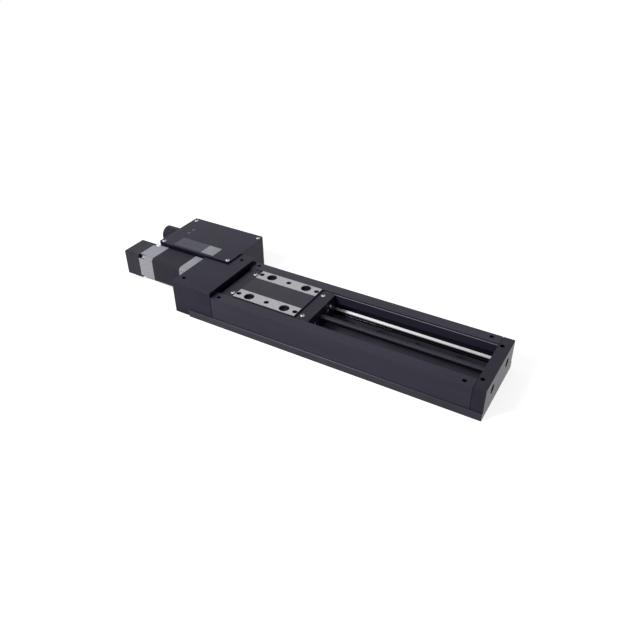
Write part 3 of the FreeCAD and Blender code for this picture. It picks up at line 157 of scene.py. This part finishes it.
def finish(material, *nodes, bevel_mm=0.0):
    """Give CAD nodes their finish, and break their sharp edges as a deburring tool does."""
    for name in nodes:
        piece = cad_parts[name]
        piece.data.materials.clear()
        piece.data.materials.append(material)
        if bevel_mm:
            weld = piece.modifiers.new("joined facets", "WELD")
            weld.merge_threshold = 0.002 * MM
            flat = piece.modifiers.new("flat faces", "DECIMATE")
            flat.decimate_type = "DISSOLVE"
            flat.angle_limit = math.radians(0.5)
            edge = piece.modifiers.new("broken edges", "BEVEL")
            edge.width = bevel_mm * MM
            edge.segments = 2
            edge.limit_method = "ANGLE"
            edge.angle_limit = math.radians(40)
            edge.harden_normals = False
            even = piece.modifiers.new("even shading", "WEIGHTED_NORMAL")
            even.keep_sharp = True


base_anodised = blasted_anodising("black anodised base", "#353441", "#3f3e4b", gloss=0.15)
finish(base_anodised, "base_plate", bevel_mm=0.25)


# ---- side walls ----
# The walls are extrusions with an undercut lip, blasted and anodised in one bath with the
# base plate. The dye's streaks run along them, as the metal left the die.

wall_anodised = blasted_anodising("black anodised extrusion", "#292737", "#333141",
                                  stretch=8.0)
finish(wall_anodised, "near_side_wall", "far_side_wall", bevel_mm=0.3)

# The edge of the ledge under each lip is painted pale: a painted highlight, for the glint of the
# lamp along it.
LEDGE_TOP, LEDGE_REACH = 36.8 * MM, 0.25 * MM
CHANNEL_HALF = 35.0 * MM
tree, shader = opened(wall_anodised)
place = add(tree, "SeparateXYZ", {"Vector": add(tree, "TexCoord").outputs["Object"]})
level = add(tree, "Math", {0: place.outputs["Z"], 1: LEDGE_TOP, 2: LEDGE_REACH},
            operation="COMPARE")
aside = add(tree, "Math", {0: place.outputs["Y"]}, operation="ABSOLUTE")
within = add(tree, "Math", {0: aside.outputs[0], 1: CHANNEL_HALF}, operation="LESS_THAN")
ledge_highlight = add(tree, "Math", {0: level.outputs[0], 1: within.outputs[0]}, operation="MULTIPLY")
recolour(tree, shader, ledge_highlight.outputs[0], "#a0a0a6")
# Painted shade once more, over the pale ledge line too, so that it dims where the lip and the
# carriage close it in.
shade_recesses(tree, shader, reach_mm=4.0, least=0.08)


def blacken(tree, shader, mask):
    """Take colour and gloss away where a mask is one."""
    recolour(tree, shader, mask, "#000000")
    deaden(tree, shader, mask)
    before = shader.inputs["Roughness"].links[0].from_socket
    dull = add(tree, "Math", {0: mask, 1: before}, operation="MAXIMUM")
    tree.links.new(dull.outputs[0], shader.inputs["Roughness"])


# Where the walls meet the motor housing, a black line is painted in the seam: painted shadow in
# the gap.
SEAM_START, SEAM_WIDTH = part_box("near_side_wall")[0].x, 0.9 * MM
seam = add(tree, "Math", {0: place.outputs["X"], 1: SEAM_START, 2: SEAM_WIDTH},
           operation="COMPARE")
blacken(tree, shader, seam.outputs[0])


# ---- motor housing and end block ----
# Both are milled from the solid, and close the channel at its two ends. The housing's inner
# face, over the channel, is painted dark by a wide occlusion shade, as the shadow beside the
# carriage.

housing_anodised = blasted_anodising("black anodised housing", "#151328", "#1d1b30",
                                     gloss=0.155)
shade_recesses(*opened(housing_anodised), reach_mm=20.0, least=0.2, full=0.95)
finish(housing_anodised, "motor_housing", bevel_mm=0.3)


def round_spots(tree, axes, middle, aside, radius):
    """A mask that is one in round spots, mirrored about a middle, and zero elsewhere."""
    place = add(tree, "SeparateXYZ", {"Vector": add(tree, "TexCoord").outputs["Object"]})
    squares = []
    for axis, centre, offset in zip(axes, middle, aside):
        shifted = add(tree, "Math", {0: place.outputs[axis], 1: centre}, operation="SUBTRACT")
        folded = add(tree, "Math", {0: shifted.outputs[0]}, operation="ABSOLUTE")
        gap = add(tree, "Math", {0: folded.outputs[0], 1: offset}, operation="SUBTRACT")
        squares.append(add(tree, "Math", {0: gap.outputs[0], 1: gap.outputs[0]},
                           operation="MULTIPLY").outputs[0])
    total = add(tree, "Math", {0: squares[0], 1: squares[1]}, operation="ADD")
    distance = add(tree, "Math", {0: total.outputs[0]}, operation="SQRT")
    inside = add(tree, "MapRange", {"Value": distance.outputs[0], "From Min": radius,
                                    "From Max": radius - 0.1 * MM})
    return inside.outputs["Result"]


# The two bumper screws sit deep in the end block. A black ring of painted shade round each
# recess widens the dark of the holes.
RECESS_LEVEL, RECESS_ASIDE = 24.6 * MM, 24.8 * MM
RIM_RADIUS = 5.5 * MM
end_anodised = blasted_anodising("black anodised end block", "#181629", "#201e31")
tree, shader = opened(end_anodised)
recess_shade = round_spots(tree, "YZ", (0.0, RECESS_LEVEL), (RECESS_ASIDE, 0.0), RIM_RADIUS)
blacken(tree, shader, recess_shade)
finish(end_anodised, "end_block", bevel_mm=0.3)


# ---- socket screws ----
# Most are alloy steel with a black oxide finish: a thin oiled conversion coat, so they shine
# a little where the tool has formed them. The end caps', lid's and motor's are zinc plated.

def formed_steel(name, dark, light, roughness, forge_mm=0.4):
    """Cold-formed steel, plated or oxidised: nearly smooth, with slight forming marks."""
    material, tree, shader = new_finish(name, Metallic=1.0)
    place = add(tree, "TexCoord").outputs["Object"]
    marks = add(tree, "TexNoise", {"Vector": place, "Scale": 1 / (forge_mm * MM), "Detail": 2.0})
    vary_colour(tree, shader, marks.outputs["Fac"], dark, light)
    vary_roughness(tree, shader, marks.outputs["Fac"], roughness - 0.05, roughness + 0.05)
    emboss(tree, shader, marks.outputs["Fac"], 0.004)
    return material


black_oxide = formed_steel("black oxide steel", "#2c2b2c", "#3a3938", roughness=0.42)
zinc_plate = formed_steel("bright zinc plate", "#9b9ba0", "#b3b3b6", roughness=0.4)
# The cap_face_screws get a paler copy of the zinc with no recess shade: painted light, to lift
# them out of the carriage's shade.
lit_face_zinc = formed_steel("bright zinc plate on cap_face_screws", "#b4b4b8", "#c8c8cc",
                         roughness=0.4)
# Painted shade in the screws' sockets and round their heads.
for sunk_finish in (black_oxide, zinc_plate):
    shade_recesses(*opened(sunk_finish), reach_mm=1.6, least=0.03)
finish(black_oxide, "rail_screws", "side_wall_screws", "frame_screws", "bearing_block_screws",
       "bumper_screws", "case_screws", "nut_screws")
finish(zinc_plate, "motor_screws")
finish(lit_face_zinc, "cap_face_screws")

# The button heads stand proud. Their hexagon sockets are painted dark, as the shade inside them.
BUTTON_RADIUS, SOCKET_RADIUS = 2.85 * MM, 1.25 * MM
for name in ("cap_top_screws", "lid_screws"):
    zinc_button = formed_steel("bright zinc plate on " + name, "#a2a2a6", "#b6b6ba",
                               roughness=0.55)
    tree, shader = opened(zinc_button)
    low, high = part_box(name)
    middle = (low + high) / 2
    aside = high - middle - Vector((BUTTON_RADIUS, BUTTON_RADIUS, 0))
    socket_shade = round_spots(tree, "XY", middle, aside, SOCKET_RADIUS)
    recolour(tree, shader, socket_shade, "#0c0c0f")
    finish(zinc_button, name)


# ---- guide rails and bearing blocks ----
# The rails are hardened bearing steel, ground lengthwise on every face. The grinding lines
# run along the rail, so light from the side spreads into one bright band down its top.

def ground_steel(name, dark, light, anisotropy, roughness=None, lay_mm=0.35):
    """Steel ground along the module: fine parallel lines that run with X."""
    material, tree, shader = new_finish(name, Metallic=1.0, Anisotropic=anisotropy)
    place = add(tree, "TexCoord").outputs["Object"]
    along = add(tree, "Mapping", {"Vector": place, "Scale": (0.02, 1.0, 1.0)})
    lines = add(tree, "TexNoise", {"Vector": along.outputs["Vector"],
                                   "Scale": 1 / (lay_mm * MM), "Detail": 3.0})
    vary_colour(tree, shader, lines.outputs["Fac"], dark, light)
    if roughness:
        vary_roughness(tree, shader, lines.outputs["Fac"], *roughness)
    emboss(tree, shader, lines.outputs["Fac"], 0.003)
    across = add(tree, "Tangent", direction_type="RADIAL", axis="X")
    tree.links.new(across.outputs["Tangent"], shader.inputs["Tangent"])
    return material


# Below the top are the ball races, polished and painted dark, as shade. The shoulder of the top
# on the screw's side is painted dark too, and the steel brightens outwards from it: painted
# shade that keeps the lit band to the top's outer part.
RAIL_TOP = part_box("near_rail")[1].z
RACE_START, TOP_START = RAIL_TOP - 0.25 * MM, RAIL_TOP - 0.1 * MM
SHOULDER_START, SHOULDER_END = 34.2 * MM, 36.6 * MM
RACE_ROUGHNESS, TOP_ROUGHNESS = 0.14, 0.75
rail_steel = ground_steel("ground bearing steel", "#e6e6e8", "#f4f4f6", anisotropy=0.9)
tree, shader = opened(rail_steel)
place = add(tree, "SeparateXYZ", {"Vector": add(tree, "TexCoord").outputs["Object"]})
above = add(tree, "MapRange", {"Value": place.outputs["Z"], "From Min": RACE_START,
                               "From Max": TOP_START})
wheel_mark = add(tree, "MapRange", {"Value": above.outputs["Result"], "To Min": RACE_ROUGHNESS,
                                    "To Max": TOP_ROUGHNESS})
tree.links.new(wheel_mark.outputs["Result"], shader.inputs["Roughness"])
aside = add(tree, "Math", {0: place.outputs["Y"]}, operation="ABSOLUTE")
shoulder = add(tree, "MapRange", {"Value": aside.outputs[0], "From Min": SHOULDER_START,
                                  "From Max": SHOULDER_END})
lit_top = add(tree, "Math", {0: above.outputs["Result"], 1: shoulder.outputs["Result"]},
               operation="MULTIPLY")
painted_rail_shade = add(tree, "Math", {0: 1.0, 1: lit_top.outputs[0]}, operation="SUBTRACT")
recolour(tree, shader, painted_rail_shade.outputs[0], "#26262a")
finish(rail_steel, "near_rail", "far_rail", bevel_mm=0.15)

block_steel = ground_steel("ground bearing block", "#a9aaac", "#bdbebf", anisotropy=0.5,
                           roughness=(0.38, 0.46))
finish(block_steel, "near_bearing_blocks", "far_bearing_blocks", bevel_mm=0.15)


# ---- carriage ----
# The carriage plate and its two end caps are milled aluminium in the frame's black finish.
# Two bead-blasted stainless strips are let into its top, pierced for the load's screws and
# pins. The end caps hold the grease nipple and the magnet for the travel sensors.

plate_anodised = blasted_anodising("black anodised plate", "#2c2b38", "#363542")
cap_anodised = blasted_anodising("black anodised aluminium", "#181629", "#201e31")
stainless_strip = formed_steel("blasted stainless strip", "#9c9ca0", "#bcbcc0", roughness=0.5,
                               forge_mm=1.1)
nipple_steel = formed_steel("zinc-plated grease nipple", "#aeb0b3", "#c6c8ca", roughness=0.25)
magnet_nickel = formed_steel("nickel-plated magnet", "#bdbab3", "#cfccc4", roughness=0.2)
finish(plate_anodised, "carriage_plate", bevel_mm=0.25)
finish(cap_anodised, "front_end_cap", "rear_end_cap", bevel_mm=0.25)
finish(stainless_strip, "mounting_strips", bevel_mm=0.2)
finish(nipple_steel, "grease_nipple", bevel_mm=0.1)
finish(magnet_nickel, "sensor_magnet", bevel_mm=0.1)


# ---- ball screw, nut and bearings ----
# The screw is rolled steel, 8 mm across with a 2.5 mm lead, and has a black chrome coat.
# Its groove is a round-bottomed helix for 1.6 mm balls; the journals at both ends are turned.

LEAD = 2.5 * MM
BALL_RADIUS = 0.8 * MM
GROOVE_DEPTH = 0.38 * MM
RUNOUT = 1.5 * LEAD
STEPS_PER_LEAD, SIDES = 12, 32
SLACK = 0.02 * MM


def groove(offset):
    """Depth of the ball groove at a distance along the screw from the groove's middle."""
    reach = math.sqrt(BALL_RADIUS ** 2 - (BALL_RADIUS - GROOVE_DEPTH) ** 2)
    if abs(offset) >= reach:
        return 0.0
    return math.sqrt(BALL_RADIUS ** 2 - offset ** 2) - (BALL_RADIUS - GROOVE_DEPTH)


def turned_outline(solid, axis_z):
    """The outline of the plain solid screw, as (x, radius) from the motor's end."""
    outline = set()
    for vertex in solid.data.vertices:
        radius = math.hypot(vertex.co.y, vertex.co.z - axis_z)
        outline.add((round(vertex.co.x, 6), round(radius, 5)))
    return sorted(ring for ring in outline if ring[1] > 0.5 * MM)


low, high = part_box("ball_screw")
screw_z = (low.z + high.z) / 2
full = high.z - screw_z
outline = turned_outline(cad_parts["ball_screw"], screw_z)
thread_start = min(x for x, radius in outline if radius > full - SLACK)
thread_end = max(x for x, radius in outline if radius > full - SLACK)
journals = [ring for ring in outline if ring[1] < full - SLACK]
before = [ring for ring in journals if ring[0] <= thread_start]
after = sorted((ring for ring in journals if ring[0] >= thread_end),
               key=lambda ring: (ring[0], -ring[1]))


def screw_loop(mesh, x, radius, threaded):
    """One closed loop of the screw's surface at a place along it."""
    loop = []
    for side in range(SIDES):
        angle = 2 * math.pi * side / SIDES
        cut = 0.0
        if threaded:
            phase = ((x - thread_start) / LEAD - side / SIDES) % 1.0
            fade = min(1.0, (x - thread_start) / RUNOUT, (thread_end - x) / RUNOUT)
            cut = groove((phase - 0.5) * LEAD) * max(0.0, fade)
        loop.append(mesh.verts.new((x, (radius - cut) * math.cos(angle),
                                    screw_z + (radius - cut) * math.sin(angle))))
    return loop


steps = round((thread_end - thread_start) / LEAD * STEPS_PER_LEAD)
turned = bmesh.new()
loops = [screw_loop(turned, x, radius, False) for x, radius in before]
loops += [screw_loop(turned, thread_start + (thread_end - thread_start) * step / steps,
                     full, True) for step in range(steps + 1)]
loops += [screw_loop(turned, x, radius, False) for x, radius in after]
for one, following in zip(loops, loops[1:]):
    for side in range(SIDES):
        beside = (side + 1) % SIDES
        turned.faces.new((one[side], one[beside], following[beside], following[side]))
turned.faces.new(loops[0][::-1])
turned.faces.new(loops[-1])
bmesh.ops.recalc_face_normals(turned, faces=turned.faces)
thread_mesh = bpy.data.meshes.new("threaded_screw")
turned.to_mesh(thread_mesh)
turned.free()
thread_mesh.shade_smooth()
thread_mesh.set_sharp_from_angle(angle=math.radians(50))
threaded_screw = bpy.data.objects.new("threaded_screw", thread_mesh)
bpy.context.scene.collection.objects.link(threaded_screw)

black_chrome = formed_steel("black chrome screw", "#33333b", "#3d3d45", roughness=0.5,
                            forge_mm=1.2)
thread_mesh.materials.append(black_chrome)
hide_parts("ball_screw")
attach(threaded_screw, "screw")

finish(block_steel, "ball_nut", "fixed_bearing_outer_rings", "fixed_bearing_inner_rings",
       "floating_bearing_outer_ring", "floating_bearing_inner_ring", "screw_lock_nut",
       "motor_bearings", bevel_mm=0.15)
finish(cap_anodised, "bearing_retainer", bevel_mm=0.15)


# ---- bumpers and travel sensors ----
# Moulded rubber buffers stop the carriage at both ends; two potted Hall sensors are glued
# into beds in the base plate.

def moulded(name, dark, light, ior, roughness, spark_mm=0.6, depth_mm=0.01, gloss=0.5):
    """A moulded part: the tool's spark-eroded texture shows as an even fine grain."""
    material, tree, shader = new_finish(name, IOR=ior, Metallic=0.0, Specular_IOR_Level=gloss)
    place = add(tree, "TexCoord").outputs["Object"]
    clouds = add(tree, "TexNoise", {"Vector": place, "Scale": 1 / (20 * MM), "Detail": 2.0})
    vary_colour(tree, shader, clouds.outputs["Fac"], dark, light)
    grain = add(tree, "TexNoise", {"Vector": place, "Scale": 1 / (spark_mm * MM), "Detail": 3.0})
    vary_roughness(tree, shader, grain.outputs["Fac"], *roughness)
    emboss(tree, shader, grain.outputs["Fac"], depth_mm)
    return material


nitrile_rubber = moulded("nitrile rubber", "#151515", "#1d1d1c", ior=1.52,
                         roughness=(0.62, 0.75))
sensor_potting = moulded("potted sensor", "#1a1a1c", "#222225", ior=1.5, roughness=(0.3, 0.42))
finish(nitrile_rubber, "home_bumpers", "away_bumpers", bevel_mm=0.4)
finish(sensor_potting, "travel_sensors", bevel_mm=0.15)


# ---- stepper motor and encoder ----
# The motor has a black stack of laminations between two die-cast aluminium bells, held by
# four long screws. A moulded cover on its rear bell hides the encoder's disc.

def cast_aluminium(name, dark, light, roughness):
    """Die-cast aluminium, shot blasted after machining: a bright but matt grey skin."""
    material, tree, shader = new_finish(name, Metallic=1.0)
    place = add(tree, "TexCoord").outputs["Object"]
    flow = add(tree, "TexNoise", {"Vector": place, "Scale": 1 / (2.5 * MM), "Detail": 4.0})
    vary_colour(tree, shader, flow.outputs["Fac"], dark, light)
    shot = add(tree, "TexNoise", {"Vector": place, "Scale": 1 / (0.45 * MM), "Detail": 2.0})
    vary_roughness(tree, shader, shot.outputs["Fac"], roughness - 0.06, roughness + 0.06)
    emboss(tree, shader, shot.outputs["Fac"], 0.02)
    return material


def lamination_stack(name, dark, light, sheet_mm=1.0):
    """Punched sheets painted black: the 0.5 mm sheets show as fine lines round the stack.
    They are drawn 1 mm apart, because the real ones are too fine to show."""
    material, tree, shader = new_finish(name, IOR=1.5, Metallic=0.0, Specular_IOR_Level=0.1)
    place = add(tree, "TexCoord").outputs["Object"]
    bands_per_unit = 3.18
    sheets = add(tree, "TexWave", {"Vector": place,
                                   "Scale": 1 / (bands_per_unit * sheet_mm * MM),
                                   "Distortion": 0.15, "Detail": 1.0},
                 wave_type="BANDS", bands_direction="X")
    vary_colour(tree, shader, sheets.outputs["Fac"], dark, light, 0.0, 1.0)
    paint = add(tree, "TexNoise", {"Vector": place, "Scale": 1 / (0.8 * MM), "Detail": 2.0})
    vary_roughness(tree, shader, paint.outputs["Fac"], 0.4, 0.52)
    emboss(tree, shader, sheets.outputs["Fac"], 0.015)
    return material


painted_stack = lamination_stack("painted lamination stack", "#27252f", "#302e3a")
bare_stack = lamination_stack("bare rotor laminations", "#55565a", "#686a6e")
shaft_steel = formed_steel("ground shaft steel", "#b9babc", "#cbccce", roughness=0.25)
finish(painted_stack, "motor_stator", bevel_mm=0.2)
finish(bare_stack, "motor_rotor")
finish(shaft_steel, "motor_shaft", "knob_shaft")

# The pockets for the long screws are left as cast, with a pale, dull skin.
SCREW_LEVEL, SCREW_ASIDE = 24.6 * MM, 14.7 * MM
POCKET_RADIUS = 3.5 * MM
bell_aluminium = cast_aluminium("die-cast motor bell", "#97979f", "#a5a5ad", roughness=0.72)
tree, shader = opened(bell_aluminium)
as_cast = round_spots(tree, "YZ", (0.0, SCREW_LEVEL), (SCREW_ASIDE, SCREW_ASIDE), POCKET_RADIUS)
recolour(tree, shader, as_cast, "#9c9ca4")
machined = add(tree, "Math", {0: 1.0, 1: as_cast}, operation="SUBTRACT")
tree.links.new(machined.outputs[0], shader.inputs["Metallic"])
finish(bell_aluminium, "motor_flange", "motor_rear_bell", bevel_mm=0.3)

black_abs = moulded("moulded black ABS", "#1d1b29", "#252333", ior=1.53,
                    roughness=(0.36, 0.48), gloss=0.19)
finish(black_abs, "encoder_base", "encoder_cover", bevel_mm=0.35)
finish(black_abs, "encoder_disc")


# ---- jaw coupling ----
# Two machined hubs, clear anodised, grip the motor's shaft and the screw. Between their
# jaws sits a cast polyurethane spider, which evens out small faults of alignment.

hub_aluminium = cast_aluminium("machined coupling hub", "#b6b7ba", "#c9cacc", roughness=0.35)
polyurethane = moulded("red polyurethane", "#8e1b17", "#a12420", ior=1.5, roughness=(0.3, 0.4))
finish(hub_aluminium, "motor_hub", "screw_hub", bevel_mm=0.2)
finish(polyurethane, "coupling_spider", bevel_mm=0.2)


# ---- controller box ----
# A machined aluminium box and lid, blasted a shade coarser than the frame and anodised
# black. The lid carries two smoked light pipes and a dark printed film left blank.

box_anodised = blasted_anodising("black anodised box", "#16142a", "#1d1b31", gloss=0.155,
                                 blast_mm=0.6, depth_mm=0.014, roughness=(0.31, 0.38))
smoked_lens = moulded("smoked polycarbonate", "#484754", "#5a5967", ior=1.58,
                      roughness=(0.2, 0.3), gloss=0.3)
label_film = moulded("dark polyester film", "#2e2d3e", "#363547", ior=1.5,
                     roughness=(0.3, 0.36), spark_mm=0.9, depth_mm=0.004, gloss=0.38)
solder_mask = moulded("green solder mask", "#0f3d22", "#15492a", ior=1.5,
                      roughness=(0.25, 0.35))
connector_nickel = formed_steel("nickel-plated brass", "#a9a59c", "#bdb9b0", roughness=0.3)
finish(box_anodised, "controller_case", "controller_lid", bevel_mm=0.3)
finish(smoked_lens, "status_windows", bevel_mm=0.2)
finish(label_film, "blank_label")
finish(solder_mask, "circuit_board")
finish(black_abs, "switch_plunger", "knob_encoder")
finish(connector_nickel, "cable_connectors", bevel_mm=0.2)

# At the label's right end is a bare pale panel, printed on the film and left empty.
PANEL_LENGTH, PANEL_MARGIN = 20.2 * MM, 0.4 * MM
PANEL_CORNER, PANEL_THICKNESS = 0.6 * MM, 0.03 * MM
low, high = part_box("blank_label")
right_end = high.x - PANEL_MARGIN
left_end = right_end - PANEL_LENGTH
near_edge = low.y + PANEL_MARGIN
far_edge = high.y - PANEL_MARGIN
panel = bmesh.new()
panel.faces.new([panel.verts.new((x, y, high.z)) for x, y in (
    (left_end, near_edge), (right_end, near_edge), (right_end, far_edge), (left_end, far_edge))])
bmesh.ops.bevel(panel, geom=list(panel.verts), offset=PANEL_CORNER, segments=4,
                affect="VERTICES")
raised = bmesh.ops.extrude_face_region(panel, geom=list(panel.faces))
for part in raised["geom"]:
    if isinstance(part, bmesh.types.BMVert):
        part.co.z += PANEL_THICKNESS
bmesh.ops.recalc_face_normals(panel, faces=panel.faces)
panel_mesh = bpy.data.meshes.new("label_panel")
panel.to_mesh(panel_mesh)
panel.free()
label_panel = bpy.data.objects.new("label_panel", panel_mesh)
bpy.context.scene.collection.objects.link(label_panel)
pale_print = moulded("pale screen print", "#8a8c95", "#9799a2", ior=1.5, roughness=(0.35, 0.45),
                     spark_mm=0.9, depth_mm=0.004)
panel_mesh.materials.append(pale_print)
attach(label_panel, "frame")


# ---- manual knob ----
# A moulded knob with fluted sides, pushed on a steel shaft. It turns without end, and a
# push on it works the switch inside the controller box.

finish(black_abs, "control_knob", bevel_mm=0.25)


# ---- studio ----
# A plain white floor that keeps a soft shadow, a white surround, and one large soft lamp
# high on the motor's side, in front.

def background_rays(tree):
    """One for the rays that show the studio itself: to the camera, and in gloss and glass."""
    ray = add(tree, "LightPath")
    seen = add(tree, "Math", {0: ray.outputs["Is Camera Ray"], 1: ray.outputs["Is Glossy Ray"]},
               operation="MAXIMUM")
    seen = add(tree, "Math", {0: seen.outputs[0], 1: ray.outputs["Is Transmission Ray"]},
               operation="MAXIMUM")
    return seen.outputs[0]


HALF_FLOOR = 4.0
scene = bpy.context.scene
floor_mesh = bpy.data.meshes.new("studio_floor")
floor_mesh.from_pydata([(-HALF_FLOOR, -HALF_FLOOR, 0), (HALF_FLOOR, -HALF_FLOOR, 0),
                        (HALF_FLOOR, HALF_FLOOR, 0), (-HALF_FLOOR, HALF_FLOOR, 0)], [],
                       [(0, 1, 2, 3)])
floor = bpy.data.objects.new("studio_floor", floor_mesh)
scene.collection.objects.link(floor)

# The paper keeps the shadow, and the glow lifts it to white beside the shadow.
white_floor = bpy.data.materials.new("white studio floor")
white_floor.use_nodes = True
tree = white_floor.node_tree
tree.nodes.clear()
paper = add(tree, "BsdfDiffuse", {"Color": linear("#d0d0d0")})
glow = add(tree, "Emission", {"Color": linear("#ffffff"), "Strength": 0.77})
lift = add(tree, "MixShader", {"Fac": background_rays(tree), 2: glow.outputs[0]})
both = add(tree, "AddShader", {0: paper.outputs[0], 1: lift.outputs[0]})
add(tree, "OutputMaterial", {"Surface": both.outputs[0]})
floor_mesh.materials.append(white_floor)

scene.world = bpy.data.worlds.new("white surround")
scene.world.use_nodes = True
tree = scene.world.node_tree
tree.nodes.clear()
room = add(tree, "Background", {"Color": linear("#ffffff"), "Strength": 0.35})
backdrop = add(tree, "Background", {"Color": linear("#ffffff"), "Strength": 1.0})
mixed = add(tree, "MixShader", {"Fac": background_rays(tree), 1: room.outputs[0],
                                2: backdrop.outputs[0]})
add(tree, "OutputWorld", {"Surface": mixed.outputs[0]})


def soft_lamp(name, towards, distance, side, watts):
    """A square soft box that looks at the middle of the module from a direction."""
    lamp = bpy.data.lights.new(name, "AREA")
    lamp.shape = "SQUARE"
    lamp.size = side
    lamp.energy = watts
    holder = bpy.data.objects.new(name, lamp)
    direction = Vector(towards).normalized()
    holder.location = direction * distance
    holder.rotation_euler = direction.to_track_quat("Z", "Y").to_euler()
    scene.collection.objects.link(holder)


soft_lamp("key soft box", (-0.62, -0.92, 1.0), distance=1.6, side=0.35, watts=13)


# ---- camera ----
# The camera looks down along the module from its free end, on the near side.

AZIMUTH, ELEVATION, ROLL = math.radians(30.306), math.radians(35.115), math.radians(-0.317)
LENS, SENSOR = 37.24, 36.0
EYE = Vector((0.29757, -0.55961, 0.47538))
right = Vector((math.cos(AZIMUTH), math.sin(AZIMUTH), 0))
back = Vector((math.sin(AZIMUTH) * math.cos(ELEVATION),
               -math.cos(AZIMUTH) * math.cos(ELEVATION), math.sin(ELEVATION)))
turn = Matrix((right, back.cross(right), back)).transposed() @ Matrix.Rotation(ROLL, 3, "Z")
lens = bpy.data.cameras.new("camera")
lens.lens = LENS
lens.sensor_width = SENSOR
lens.clip_start = 0.01
camera = bpy.data.objects.new("camera", lens)
camera.matrix_world = Matrix.Translation(EYE) @ turn.to_4x4()
scene.collection.objects.link(camera)
scene.camera = camera
scene.view_settings.view_transform = "Standard"
